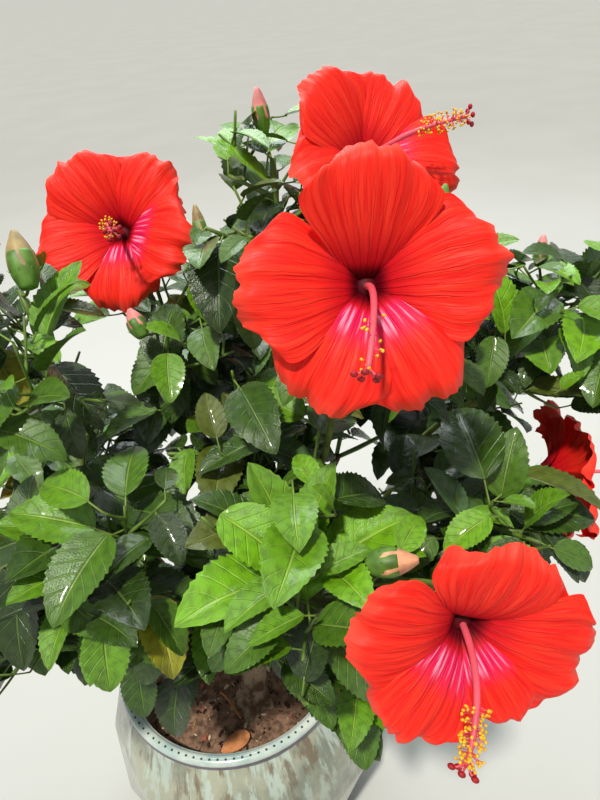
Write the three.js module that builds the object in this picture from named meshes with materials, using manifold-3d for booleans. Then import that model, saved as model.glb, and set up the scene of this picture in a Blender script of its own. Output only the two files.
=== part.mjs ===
// A red-flowered hibiscus shrub standing in its glazed, faceted pot.
// Millimetres, +Z up. The origin is the middle of the pot's flat underside.
import * as THREE from "three";
import { mergeVertices } from "three/addons/utils/BufferGeometryUtils.js";
import Module from "manifold-3d";

const wasm = await Module();
wasm.setup();

// The pot: a smooth ring of a rim on a body of flat facets.
const POT_HEIGHT = 330;
const RIM_RADIUS = 160;
const MOUTH_RADIUS = 147;
const RIM_DEPTH = 20;
const NECK_RADIUS = 154;
const BELLY_RADIUS = 198;
const BELLY_DROP = 164;
const BASE_RADIUS = 128;
const FACETS_ROUND = 12;
const FACET_ROWS = 4;
const POT_FLOOR = 18;
const INNER_BASE_RADIUS = 112;
const INNER_BELLY_RADIUS = 181;
const MOUTH_WALL = 4;
const RIM_SEGMENTS = 28;
const HOLLOW_SEGMENTS = 20;
const SOIL_TOP = 295;
const SOIL_MOUND = 5;
const SOIL_INSET = 0.7;
const CLEARANCE = 0.3;

// The trunk: a short leaning stem on spreading roots, ending in a knuckle.
const TRUNK_FOOT = [26, -62, SOIL_TOP + SOIL_MOUND + CLEARANCE];
const TRUNK_TOP = [40, -38, 382];
const TRUNK_RADIUS = 15;
const FLARE_RADIUS = 30;
const KNUCKLE_RADIUS = 24;

// Shared measures of the growth. A knuckle and a stem's sag are shares of the limb's tip radius and length.
const TIP_KNUCKLE = 2;
const STEM_SAG = 0.08;
const LIMB_STEPS = 4;
const STEM_STEPS = 3;
const GOLDEN_ANGLE = (137.5 * Math.PI) / 180;
const LEAF_THICKNESS = 1.6;
const LEAF_FOLD = 0.16;
const LEAF_ARCH = 0.13;
const LEAF_BREADTH = 0.7;
const PETIOLE_SHARE = 0.3;
const PETIOLE_RADIUS = 0.8;
const STEM_RADII = [3.2, 2.4];
const TWIG_RADII = [2.2, 1.6];
const TWIG_PIECES = 4;
const TWIG_TRIES = [1, 0.8, 0.6, 0.42];
const LEAF_TRIES = [1, 0.8, 0.64];
const LEAF_SPACING = 22;
const LEAF_APART = 9;
const TWIG_APART = 3.5;
const CELL_MARGIN = 1.4;
const LIMB_MARGIN = 2.2;
const FIRST_LEAF = 0.12;
const YOUNG_FROM = 0.85;
const YOUNG_SIZE = 0.75;
const YOUNG_LIFT = 0.4;
const LEAF_LEAN = 0.55;
const LEAF_LEVEL = 0.6;

// Where the twigs stand on a stem, as shares of its length, and what the draws decide. Lengths and droops are
// given as the least and what a draw adds: a twig's length as a share of its space's radius, a leaf's as a share
// of the usual one.
const FIRST_TWIG = 0.12;
const TWIG_SPAN = 0.76;
const TURN_STRAY = 0.5;
const TWIG_RISE = 0.7;
const TWIG_LENGTHS = [0.5, 0.3];
const LEAF_SIZES = [0.85, 0.35];
const LEAF_DROOPS = [0.1, 0.7];
const LEAF_ROLL = 0.8;

// Shared measures of the blooms. The throat lies deep behind the petals by a share of their length.
const BLOOM_PETALS = 5;
const PETAL_THICKNESS = 1.7;
const PETAL_FOOT = 4;
const PETAL_FOOT_BREADTH = 0.05;
const PETAL_BREADTH = 1.05;
const PETAL_NARROWING = 0.62;
const PETAL_ROUNDING = 0.26;
const PETAL_TWIST = 0.1;
const PETAL_CUPPING = 0.06;
const PETAL_RISE = 0.62;
const PETAL_RECURVE = 0.35;
const THROAT_DEPTH = 0.36;
const CALYX_LENGTH = 30;
const STALK_RADII = [2.6, 2.2];
const BLOOM_SKIN = 15;
const THROAT_SKIN = 20;
const BLOOM_REACH = 1.08;
const COLUMN_REST = 0.45;
const COLUMN_RADIUS = 2.6;
const COLUMN_KEEP = 9;

// Limbs: the bough or trunk each one leaves, the point it bends towards, its tip, and its radii at both ends.
const BOUGHS = {
  bough_left: { from: "trunk", bend: [-30, -70, 440], tip: [-60, -82, 570], radii: [7, 5] },
  bough_front: { from: "trunk", bend: [62, -105, 440], tip: [74, -135, 545], radii: [7, 5] },
  bough_centre: { from: "trunk", bend: [48, -36, 500], tip: [95, -18, 615], radii: [7.5, 5.5] },
  bough_right: { from: "trunk", bend: [120, -44, 430], tip: [205, -40, 590], radii: [7.5, 5.5] },
  bough_back: { from: "trunk", bend: [22, 40, 440], tip: [8, 95, 585], radii: [7, 5] },
  bough_back_left: { from: "trunk", bend: [-40, 8, 420], tip: [-112, 72, 500], radii: [6.5, 4.5] },
  bough_back_right: { from: "trunk", bend: [94, 34, 430], tip: [172, 132, 540], radii: [6.5, 4.5] },
  bough_left_high: { from: "bough_left", bend: [-112, -76, 652], tip: [-64, -72, 776], radii: [3.6, 2.8] },
  bough_front_high: { from: "bough_front", bend: [92, -172, 600], tip: [112, -192, 664], radii: [3.6, 3] },
  bough_top: { from: "bough_centre", bend: [112, 34, 706], tip: [126, 14, 846], radii: [4, 3] },
  bough_bloom: { from: "bough_centre", bend: [152, -72, 682], tip: [158, -116, 826], radii: [3.6, 2.8] },
  bough_right_high: { from: "bough_right", bend: [230, -4, 676], tip: [306, -22, 728], radii: [4, 3] },
  bough_back_high: { from: "bough_back", bend: [2, 80, 680], tip: [2, 70, 752], radii: [3.6, 2.8] },
};

// Masses of foliage: the bough each stem leaves, the stem's tip (and the point it bends towards), the middle
// and radius of the space the mass keeps to, the number of side twigs, the usual leaf length, the seed, and
// the leaves that stand out of the even growth as [base, tip, width].
const MASSES = {
  mass_left_low: {
    from: "bough_left", tip: [-160, -140, 612],
    middle: [-140, -130, 630], reach: 132, twigs: 7, leaf: 88, seed: 11,
    placed: [
      [[-84, -134, 616], [-104, -184, 574], 46],
      [[-120, -158, 716], [-128, -214, 650], 50],
    ],
  },
  mass_left_high: {
    from: "bough_left_high", tip: [-88, -36, 905],
    middle: [-92, -50, 850], reach: 125, twigs: 7, leaf: 76, seed: 12,
    placed: [
      [[-73, -65, 868], [-44, -30, 922], 44],
      [[-96, -98, 806], [-150, -146, 822], 52],
    ],
  },
  mass_left_front: {
    from: "bough_left", tip: [-30, -170, 740],
    middle: [-30, -156, 706], reach: 118, twigs: 10, leaf: 88, seed: 46,
    placed: [
      [[-47, -118, 752], [44, -180, 748], 58],
      [[-45, -127, 712], [-18, -214, 662], 62],
    ],
  },
  mass_left_middle: {
    from: "bough_back_high", tip: [8, 20, 832],
    middle: [-4, 20, 800], reach: 125, twigs: 7, leaf: 82, seed: 14,
    placed: [[[8, -32, 814], [20, 12, 856], 46]],
  },
  mass_low_front_left: {
    from: "bough_front", tip: [22, -152, 610],
    middle: [0, -156, 556], reach: 118, twigs: 9, leaf: 88, seed: 15,
    placed: [
      [[80, -158, 604], [-4, -204, 608], 54],
      [[-24, -150, 512], [-40, -190, 466], 46],
      [[-21, -121, 485], [-35, -163, 461], 42],
      [[-60, -150, 550], [-58, -190, 511], 38],
      [[17, -103, 613], [10, -160, 603], 47],
    ],
  },
  mass_low_front_right: {
    from: "bough_front", tip: [132, -176, 560],
    middle: [140, -180, 530], reach: 116, twigs: 6, leaf: 88, seed: 16,
    placed: [[[112, -166, 556], [168, -250, 530], 60]],
  },
  mass_centre_front: {
    from: "bough_front_high", bend: [84, -214, 710], tip: [104, -208, 770],
    middle: [118, -205, 722], reach: 108, twigs: 6, leaf: 70, seed: 17,
    placed: [
      [[104, -222, 738], [42, -258, 768], 58],
      [[138, -211, 736], [196, -196, 770], 56],
      [[112, -208, 748], [96, -184, 812], 40],
      [[122, -204, 748], [142, -184, 806], 36],
      [[116, -221, 721], [136, -252, 676], 36],
    ],
  },
  mass_centre: {
    from: "bough_centre", tip: [60, -76, 760],
    middle: [84, -68, 715], reach: 130, twigs: 8, leaf: 90, seed: 18,
    placed: [[[134, -76, 765], [46, -116, 776], 48]],
  },
  mass_behind_bloom: {
    from: "bough_bloom", tip: [190, -76, 860],
    middle: [196, -70, 830], reach: 103, twigs: 6, leaf: 80, seed: 19,
    placed: [],
  },
  mass_top: {
    from: "bough_top", tip: [130, 8, 975],
    middle: [112, 22, 925], reach: 125, twigs: 4, leaf: 62, seed: 20,
    placed: [[[124, 0, 958], [82, 10, 1004], 30]],
  },
  mass_right_high: {
    from: "bough_right_high", tip: [376, 8, 830],
    middle: [362, 2, 792], reach: 116, twigs: 5, leaf: 66, seed: 21,
    placed: [
      [[357, -10, 778], [410, -26, 802], 42],
      [[330, -29, 751], [388, -52, 756], 42],
      [[354, 3, 797], [347, 32, 837], 27],
    ],
  },
  mass_right_low: {
    from: "bough_right", tip: [272, -150, 712],
    middle: [288, -118, 690], reach: 112, twigs: 7, leaf: 68, seed: 22,
    placed: [
      [[292, -146, 718], [306, -122, 768], 38],
      [[312, -130, 696], [340, -162, 669], 32],
    ],
  },
  mass_right_under: {
    from: "bough_right", tip: [268, -90, 560],
    middle: [250, -90, 540], reach: 125, twigs: 5, leaf: 86, seed: 23,
    placed: [],
  },
  mass_back: {
    from: "bough_back", tip: [20, 212, 650],
    middle: [24, 205, 640], reach: 143, twigs: 5, leaf: 92, seed: 24,
    placed: [],
  },
  mass_back_left: {
    from: "bough_back_left", tip: [-204, 112, 612],
    middle: [-160, 140, 610], reach: 143, twigs: 8, leaf: 92, seed: 25,
    placed: [],
  },
  mass_left_under: {
    from: "bough_back_left", tip: [-212, 10, 540],
    middle: [-200, 0, 510], reach: 137, twigs: 5, leaf: 90, seed: 26,
    placed: [],
  },
  mass_back_right: {
    from: "bough_back_right", tip: [218, 210, 680],
    middle: [212, 200, 650], reach: 143, twigs: 5, leaf: 92, seed: 27,
    placed: [],
  },
  mass_right_back: {
    from: "bough_back_right", tip: [318, 118, 640],
    middle: [316, 108, 620], reach: 137, twigs: 8, leaf: 88, seed: 28,
    placed: [],
  },
};

// Gaps in the crown, which no twig or leaf of the even growth enters: channels from start to finish, with the
// radius at each end.
const GAPS = [
  { start: [25, -294, 691], finish: [-107, -21, 178], radii: [30, 67] },
  { start: [75, -294, 690], finish: [9, -33, 195], radii: [31, 69] },
  { start: [116, -327, 644], finish: [100, -132, 160], radii: [30, 61] },
  { start: [38, -322, 650], finish: [-60, -121, 174], radii: [31, 64] },
  { start: [-67, -294, 690], finish: [-387, 63, 19], radii: [42, 111] },
  { start: [66, -72, 1001], finish: [-8, 432, 882], radii: [26, 56] },
  { start: [83, -45, 1040], finish: [28, 491, 965], radii: [27, 58] },
  { start: [87, -90, 977], finish: [38, 395, 830], radii: [14, 29] },
  { start: [49, -214, 1009], finish: [-5, -14, 945], radii: [36, 60] },
  { start: [325, -107, 953], finish: [547, 359, 779], radii: [26, 56] },
  { start: [282, -98, 965], finish: [455, 378, 805], radii: [29, 61] },
  { start: [-49, -81, 989], finish: [-256, 414, 856], radii: [27, 58] },
  { start: [12, -242, 1004], finish: [-62, -72, 941], radii: [15, 25] },
  { start: [155, -383, 944], finish: [178, -252, 783], radii: [10, 19] },
  { start: [13, -160, 912], finish: [-148, 327, 647], radii: [18, 42] },
];

// Blooms: the bough the flower stalk leaves, the throat, the way the flower faces, the tip of its column,
// the turn of its first petal about that way, and the length of a petal.
const BLOOMS = {
  bloom_front: {
    from: "bough_bloom", throat: [179, -195, 953], faces: [0.02, -0.86, 0.5], column: [166, -259, 936],
    turn: 90, petal: 80,
  },
  bloom_top: {
    from: "bough_top", throat: [214, 8, 972], faces: [0.34, -0.72, 0.6], column: [281, -14, 996],
    turn: 62, petal: 78,
  },
  bloom_left: {
    from: "bough_back_high", throat: [-21, 45, 922], faces: [-0.12, -0.8, 0.58], column: [-6, -18, 939],
    turn: 54, petal: 76,
  },
  bloom_low_right: {
    from: "bough_front_high", throat: [214, -318, 779], faces: [0.03, -0.96, 0.24], column: [195, -371, 762],
    turn: 80, petal: 74,
  },
  bloom_right: {
    from: "bough_right", throat: [392, -66, 660], faces: [0.93, -0.1, 0.1], column: [452, -84, 668],
    turn: 70, petal: 74,
  },
  bloom_back: {
    from: "bough_back", throat: [144, 262, 752], faces: [0.1, 0.9, 0.36], column: [150, 328, 768],
    turn: 90, petal: 76,
  },
  bloom_back_left: {
    from: "bough_back_left", throat: [-296, 84, 640], faces: [-0.84, 0.36, 0.4], column: [-352, 108, 666],
    turn: 70, petal: 76,
  },
};

// Buds: the mass whose stem carries each, its middle, the way it points, its length and its width.
const BUDS = [
  { mass: "mass_top", middle: [124, 50, 1004], way: [-0.05, 0.1, 1], long: 36, wide: 15 },
  { mass: "mass_left_high", middle: [-74, -44, 933], way: [-0.16, 0.57, 0.8], long: 47, wide: 23 },
  { mass: "mass_centre_front", middle: [181, -242, 769], way: [0.99, -0.12, 0.12], long: 36, wide: 21 },
  { mass: "mass_right_high", middle: [376, 34, 858], way: [0.1, 0.2, 1], long: 30, wide: 14 },
  { mass: "mass_right_high", middle: [400, 4, 836], way: [0.6, 0, 0.8], long: 34, wide: 16 },
  { mass: "mass_left_middle", middle: [54, 63, 906], way: [-0.11, 0.58, 0.81], long: 45, wide: 14 },
  { mass: "mass_left_middle", middle: [-2, -35, 863], way: [-0.35, 0.54, 0.76], long: 27, wide: 17 },
  { mass: "mass_behind_bloom", middle: [263, -20, 937], way: [0.38, 0.54, 0.75], long: 24, wide: 15 },
];

const COLOURS = {
  pot: [0xa3a898, 0.22],
  soil: [0x3f2f26, 0.95],
  wood: [0x7a5b44, 0.75],
  leaves: [0x3d7a24, 0.4],
  petals: [0xe8302a, 0.55],
};

// Vector arithmetic on plain [x, y, z] lists.
const add = (a, b) => [a[0] + b[0], a[1] + b[1], a[2] + b[2]];
const sub = (a, b) => [a[0] - b[0], a[1] - b[1], a[2] - b[2]];
const scale = (a, k) => [a[0] * k, a[1] * k, a[2] * k];
const dot = (a, b) => a[0] * b[0] + a[1] * b[1] + a[2] * b[2];
const cross = (a, b) => [a[1] * b[2] - a[2] * b[1], a[2] * b[0] - a[0] * b[2], a[0] * b[1] - a[1] * b[0]];
const size = (a) => Math.sqrt(dot(a, a));
const unit = (a) => scale(a, 1 / size(a));
const mix = (a, b, t) => add(scale(a, 1 - t), scale(b, t));

// Numbers from 0 to 1 that are the same on every run.
function seeded(seed) {
  let state = seed * 7919;
  return () => {
    state = (state * 1664525 + 1013904223) % 4294967296;
    return state / 4294967296;
  };
}

// A limb, stem or twig follows a bent line from its foot through its bend to its tip.
function alongLine(line, t) {
  return mix(mix(line.foot, line.bend, t), mix(line.bend, line.tip, t), t);
}

function directionOf(line, t) {
  return unit(mix(sub(line.bend, line.foot), sub(line.tip, line.bend), t));
}

function radiusOf(line, t) {
  return line.radii[0] + (line.radii[1] - line.radii[0]) * t;
}

// Two directions square to the given one, the first as level as it can be.
function sidesOf(way) {
  const level = Math.abs(way[2]) > 0.96 ? [0, 1, 0] : [0, 0, 1];
  const side = unit(cross(way, level));
  return [side, cross(side, way)];
}

// Turning a three.js geometry or a list of corners and faces into a solid, and back.
function solidOf(geometry) {
  const bare = geometry.clone();
  bare.deleteAttribute("normal");
  bare.deleteAttribute("uv");
  const merged = mergeVertices(bare, 1e-3);
  return new wasm.Manifold(
    new wasm.Mesh({
      numProp: 3,
      vertProperties: merged.attributes.position.array,
      triVerts: new Uint32Array(merged.index.array),
    }),
  );
}

function geometryOf(solid) {
  const mesh = solid.getMesh();
  const geometry = new THREE.BufferGeometry();
  geometry.setAttribute("position", new THREE.BufferAttribute(mesh.vertProperties, 3));
  geometry.setIndex(new THREE.BufferAttribute(mesh.triVerts, 1));
  return geometry;
}

function solidOfFaces(corners, faces) {
  const geometry = new THREE.BufferGeometry();
  geometry.setAttribute("position", new THREE.BufferAttribute(new Float32Array(corners.flat()), 3));
  geometry.setIndex(faces.flat());
  return solidOf(geometry);
}

// A closed tapering tube: a cylinder whose rings are set along the line.
function tubeAlong(line, sides, rings, radiusAt = (t) => radiusOf(line, t)) {
  const geometry = new THREE.CylinderGeometry(1, 1, 1, sides, rings);
  const place = geometry.getAttribute("position");
  for (let i = 0; i < place.count; i++) {
    const t = 0.5 - place.getY(i);
    const [side, up] = sidesOf(directionOf(line, t));
    const radius = radiusAt(t);
    const across = add(scale(side, place.getX(i) * radius), scale(up, place.getZ(i) * radius));
    const point = add(alongLine(line, t), across);
    place.setXYZ(i, point[0], point[1], point[2]);
  }
  return outward(solidOf(geometry), geometry);
}

// The same solid with its faces pointing out.
function outward(solid, geometry) {
  if (solid.volume() > 0) {
    return solid;
  }
  const index = geometry.index.array;
  for (let i = 0; i < index.length; i += 3) {
    [index[i + 1], index[i + 2]] = [index[i + 2], index[i + 1]];
  }
  return solidOf(geometry);
}

function ball(middle, radius, detail) {
  return solidOf(new THREE.IcosahedronGeometry(radius, detail).translate(...middle));
}

// The pot's radius outside at a height above its underside.
function potRadius(height) {
  const drop = POT_HEIGHT - height;
  if (drop < BELLY_DROP) {
    const near = 1 - drop / BELLY_DROP;
    return BELLY_RADIUS - (BELLY_RADIUS - NECK_RADIUS) * near * near;
  }
  const below = (drop - BELLY_DROP) / (POT_HEIGHT - BELLY_DROP);
  return BELLY_RADIUS - (BELLY_RADIUS - BASE_RADIUS) * below * below;
}

// Each row of corners is turned half a facet past the row above, so that the flats are triangles.
function facetedBody() {
  const height = POT_HEIGHT - RIM_DEPTH / 2;
  const geometry = new THREE.CylinderGeometry(1, 1, 1, FACETS_ROUND, FACET_ROWS);
  const place = geometry.getAttribute("position");
  for (let i = 0; i < place.count; i++) {
    const row = Math.round((0.5 - place.getY(i)) * FACET_ROWS);
    const level = height * (1 - row / FACET_ROWS);
    const centred = Math.hypot(place.getX(i), place.getZ(i)) < 0.5;
    const angle = Math.atan2(-place.getZ(i), place.getX(i)) + (row * Math.PI) / FACETS_ROUND;
    const radius = centred ? 0 : potRadius(level);
    place.setXYZ(i, radius * Math.cos(angle), radius * Math.sin(angle), level);
  }
  return outward(solidOf(geometry), geometry);
}

function turned(profile, segments) {
  const points = profile.map(([radius, height]) => new THREE.Vector2(radius, height));
  const geometry = new THREE.LatheGeometry(points, segments).rotateX(Math.PI / 2);
  return outward(solidOf(geometry), geometry);
}

function potAndSoil() {
  const lip = RIM_DEPTH / 3;
  const ledge = POT_HEIGHT - RIM_DEPTH;
  const middle = POT_HEIGHT - BELLY_DROP;
  const mouth = MOUTH_RADIUS - MOUTH_WALL;
  const rim = turned(
    [
      [mouth - 1, ledge],
      [NECK_RADIUS, ledge],
      [RIM_RADIUS, POT_HEIGHT - lip * 2],
      [RIM_RADIUS - lip / 2, POT_HEIGHT],
      [MOUTH_RADIUS, POT_HEIGHT],
      [mouth - 1, ledge],
    ],
    RIM_SEGMENTS,
  );
  const hollow = turned(
    [
      [0, POT_FLOOR],
      [INNER_BASE_RADIUS, POT_FLOOR],
      [INNER_BELLY_RADIUS, middle],
      [mouth, ledge],
      [mouth, POT_HEIGHT + 1],
      [0, POT_HEIGHT + 1],
    ],
    HOLLOW_SEGMENTS,
  );
  const rise = (SOIL_TOP - middle) / (ledge - middle);
  const soilEdge = INNER_BELLY_RADIUS + (mouth - INNER_BELLY_RADIUS) * rise;
  const soil = turned(
    [
      [0, POT_FLOOR + SOIL_INSET],
      [INNER_BASE_RADIUS - 2 * SOIL_INSET, POT_FLOOR + SOIL_INSET],
      [INNER_BELLY_RADIUS - 2 * SOIL_INSET, middle],
      [soilEdge - 2 * SOIL_INSET, SOIL_TOP],
      [soilEdge * 0.6, SOIL_TOP + SOIL_MOUND],
      [0, SOIL_TOP + SOIL_MOUND],
    ],
    HOLLOW_SEGMENTS,
  );
  return { pot: facetedBody().subtract(hollow).add(rim), soil };
}

// Where a limb leaves another: on the round knuckle at that one's end, just clear of it.
const ends = { trunk: { at: TRUNK_TOP, knuckle: KNUCKLE_RADIUS } };

function leave(parent, towards) {
  const end = ends[parent];
  return add(end.at, scale(unit(sub(towards, end.at)), end.knuckle + CLEARANCE));
}

// A bend half way to the tip, lifted or let down by a share of the length.
function easyBend(foot, tip, lift) {
  return add(mix(foot, tip, 0.5), [0, 0, lift * size(sub(tip, foot))]);
}

const limbs = {};
for (const [name, bough] of Object.entries(BOUGHS)) {
  const foot = leave(bough.from, bough.bend);
  limbs[name] = { foot, bend: bough.bend, tip: bough.tip, radii: bough.radii };
  ends[name] = { at: bough.tip, knuckle: bough.radii[1] * TIP_KNUCKLE };
}

function frameOfBloom(bloom) {
  const out = unit(bloom.faces);
  const [side, up] = sidesOf(out);
  return { out, side, up };
}

// A flower's stalk runs from its bough to the calyx behind the throat, and meets the calyx straight.
const STALK_STRAIGHT = 26;
const stalks = {};
for (const [name, bloom] of Object.entries(BLOOMS)) {
  const { out } = frameOfBloom(bloom);
  const back = sub(bloom.throat, scale(out, bloom.petal * THROAT_DEPTH + CALYX_LENGTH));
  const bend = add(sub(back, scale(out, STALK_STRAIGHT)), scale(sub(ends[bloom.from].at, back), 0.25));
  const foot = leave(bloom.from, bend);
  stalks[name] = { foot, bend, tip: back, radii: STALK_RADII };
}

const stems = {};
for (const [name, mass] of Object.entries(MASSES)) {
  const bend = mass.bend || easyBend(ends[mass.from].at, mass.tip, -STEM_SAG);
  stems[name] = { foot: leave(mass.from, bend), bend, tip: mass.tip, radii: STEM_RADII };
}

// Short straight pieces of every limb, stalk and stem, which leaves and twigs keep clear of. The solids are
// bent in the same steps.
function piecesOf(line, steps) {
  const pieces = [];
  for (let i = 0; i < steps; i++) {
    const start = alongLine(line, i / steps);
    const finish = alongLine(line, (i + 1) / steps);
    pieces.push({ start, run: sub(finish, start), radius: radiusOf(line, i / steps) });
  }
  return pieces;
}

const obstacles = [];
for (const line of [...Object.values(limbs), ...Object.values(stalks)]) {
  obstacles.push(...piecesOf(line, LIMB_STEPS));
}
for (const line of Object.values(limbs)) {
  obstacles.push({ start: line.tip, run: [0, 0, 0.001], radius: line.radii[1] * TIP_KNUCKLE });
}
obstacles.push({ start: TRUNK_FOOT, run: sub(TRUNK_TOP, TRUNK_FOOT), radius: KNUCKLE_RADIUS });
for (const bloom of Object.values(BLOOMS)) {
  obstacles.push({ start: bloom.throat, run: sub(bloom.column, bloom.throat), radius: COLUMN_KEEP });
}
// A mass's own stem is no obstacle to it, but every other stem is.
for (const [name, stem] of Object.entries(stems)) {
  obstacles.push(...piecesOf(stem, STEM_STEPS).map((piece) => ({ ...piece, owner: MASSES[name] })));
}

function distanceTo(piece, point) {
  const reach = sub(point, piece.start);
  const t = Math.min(1, Math.max(0, dot(reach, piece.run) / dot(piece.run, piece.run)));
  return size(sub(reach, scale(piece.run, t)));
}

function clearOfLimbs(mass, point, margin) {
  return obstacles.every((piece) => piece.owner === mass || distanceTo(piece, point) > piece.radius + margin);
}

function clearOfGaps(point) {
  return GAPS.every(({ start, finish, radii }) => {
    const run = sub(finish, start);
    const t = Math.min(1, Math.max(0, dot(sub(point, start), run) / dot(run, run)));
    return size(sub(point, mix(start, finish, t))) > radii[0] + (radii[1] - radii[0]) * t;
  });
}

// How far a petal stands forward of the throat at u, from its foot at 0 to its margin at 1.
function petalHeight(bloom, u) {
  return bloom.petal * (-THROAT_DEPTH + PETAL_RISE * Math.pow(u, 0.6) * (1 - PETAL_RECURVE * u * u));
}

function clearOfBlooms(point) {
  return Object.values(BLOOMS).every((bloom) => {
    const { out } = frameOfBloom(bloom);
    const from = sub(point, bloom.throat);
    const height = dot(from, out);
    const wide = size(sub(from, scale(out, height)));
    if (wide > bloom.petal * BLOOM_REACH + PETAL_FOOT) {
      return true;
    }
    const u = Math.min(1, wide / bloom.petal);
    return Math.abs(height - petalHeight(bloom, u)) > BLOOM_SKIN + THROAT_SKIN * (1 - u) * (1 - u);
  });
}

// Growth keeps a few millimetres off the pot and the soil, and well off the ground.
const POT_KEEP = 6;
const LOWEST_LEAF = 60;

function clearOfPot(point) {
  const wide = Math.hypot(point[0], point[1]);
  const above = point[2] > POT_HEIGHT + POT_KEEP;
  const inside = point[2] > SOIL_TOP + SOIL_MOUND + POT_KEEP && wide < MOUTH_RADIUS - MOUTH_WALL * 2;
  return above || inside || (point[2] > LOWEST_LEAF && wide > potRadius(point[2]) + POT_KEEP * 1.5);
}

// A mass keeps to the part of its ball that lies on its own side of its neighbours.
function insideSpace(mass, point, margin) {
  const own = size(sub(point, mass.middle));
  if (own > mass.reach - margin) {
    return false;
  }
  return Object.values(MASSES).every((other) => {
    if (other === mass) {
      return true;
    }
    const gap = size(sub(other.middle, mass.middle));
    const ownPower = own * own - mass.reach * mass.reach;
    const otherWay = size(sub(point, other.middle));
    const otherPower = otherWay * otherWay - other.reach * other.reach;
    return (otherPower - ownPower) / (2 * gap) > margin;
  });
}

function free(mass, point, margin) {
  return insideSpace(mass, point, CELL_MARGIN + margin)
    && clearOfLimbs(mass, point, LIMB_MARGIN + margin)
    && clearOfBlooms(point)
    && clearOfPot(point);
}

// A leaf: its blade runs from its base to its tip, folded along the midrib and arching down.
const halfWidth = (t) => Math.pow(t, 0.55) * Math.pow(1 - t, 0.75) * 1.9;

function bladePoint(leaf, t, s) {
  const across = s * 0.5 * leaf.width * Math.min(1, halfWidth(t));
  const lift = Math.abs(across) * LEAF_FOLD * 2 - LEAF_ARCH * leaf.length * t * t;
  const middle = add(leaf.base, scale(leaf.way, leaf.length * t));
  return add(add(middle, scale(leaf.side, across)), scale(leaf.normal, lift));
}

const BLADE_STEPS = [0, 0.1, 0.2, 0.3, 0.4, 0.5, 0.6, 0.7, 0.8, 0.9, 1];
const BLADE_SIDES = [-1, -0.7, -0.35, 0, 0.35, 0.7, 1];
const PETIOLE_STEPS = [0.2, 0.4, 0.6, 0.8];
const TWIG_STEPS = [0.12, 0.23, 0.34, 0.45, 0.56, 0.67, 0.78, 0.89, 1];

function leafFree(mass, leaf, points) {
  return points.every((point) => free(mass, point, LEAF_THICKNESS / 2))
    && PETIOLE_STEPS.every((t) => free(mass, mix(leaf.root, leaf.base, t), PETIOLE_RADIUS));
}

// Points spread over a blade, and the tests that they keep clear of what surrounds the leaf.
function bladePoints(leaf) {
  return BLADE_STEPS.flatMap((t) => BLADE_SIDES.map((s) => bladePoint(leaf, t, s)));
}

function touches(points, leaves, twigs) {
  const nearLeaf = leaves.some((other) =>
    other.points.some((there) => points.some((here) => size(sub(here, there)) < LEAF_APART)));
  const beyondBase = points.slice(BLADE_SIDES.length);
  return nearLeaf || beyondBase.some((here) => twigs.some((piece) => distanceTo(piece, here) < TWIG_APART));
}

function leafFrom(root, base, way, width, length, roll) {
  const up = Math.abs(way[2]) > 0.97 ? unit([way[0], way[1] - 0.3, 0.1]) : [0, 0, 1];
  const level = unit(cross(way, up));
  const flat = cross(level, way);
  const side = add(scale(level, Math.cos(roll)), scale(flat, Math.sin(roll)));
  return { root, base, way, side, normal: cross(side, way), width, length };
}

// The point nearest a place among those at the given shares of the lines' length.
function nearestPoint(lines, place, shares) {
  const points = lines.flatMap((line) => shares.map((t) => alongLine(line, t)));
  return points.reduce((best, point) => (size(sub(point, place)) < size(sub(best, place)) ? point : best));
}

// A mass's side twigs leave its stem in turns of the golden angle, each as long as its space lets it be.
function growTwigs(name, mass, draw) {
  const stem = stems[name];
  const lines = [{ ...stem, bears: true }];
  for (let i = 0; i < mass.twigs; i++) {
    const along = FIRST_TWIG + (TWIG_SPAN * (i + draw() / 2)) / mass.twigs;
    const turn = mass.seed + i * GOLDEN_ANGLE + draw() * TURN_STRAY;
    const rise = TWIG_RISE * draw();
    const long = mass.reach * (TWIG_LENGTHS[0] + TWIG_LENGTHS[1] * draw());
    const foot = alongLine(stem, along);
    const way = unit([Math.cos(turn), Math.sin(turn), rise]);
    for (const part of TWIG_TRIES) {
      const tip = add(foot, scale(way, long * part));
      const twig = { foot, bend: mix(foot, tip, 0.5), tip, radii: TWIG_RADII };
      const points = TWIG_STEPS.map((t) => alongLine(twig, t));
      if (points.every((point) => clearOfGaps(point) && free(mass, point, TWIG_RADII[0]))) {
        lines.push(twig);
        break;
      }
    }
  }
  return lines;
}

function placedLeaves(mass, lines) {
  const leaves = [];
  for (const [base, tip, width] of mass.placed) {
    const root = nearestPoint(lines, base, [0.1, 0.25, 0.4, 0.55, 0.7, 0.85, 1]);
    const leaf = leafFrom(root, base, unit(sub(tip, base)), width, size(sub(tip, base)), 0);
    leaf.points = bladePoints(leaf);
    if (leafFree(mass, leaf, leaf.points)) {
      leaves.push(leaf);
    }
  }
  return leaves;
}

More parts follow.
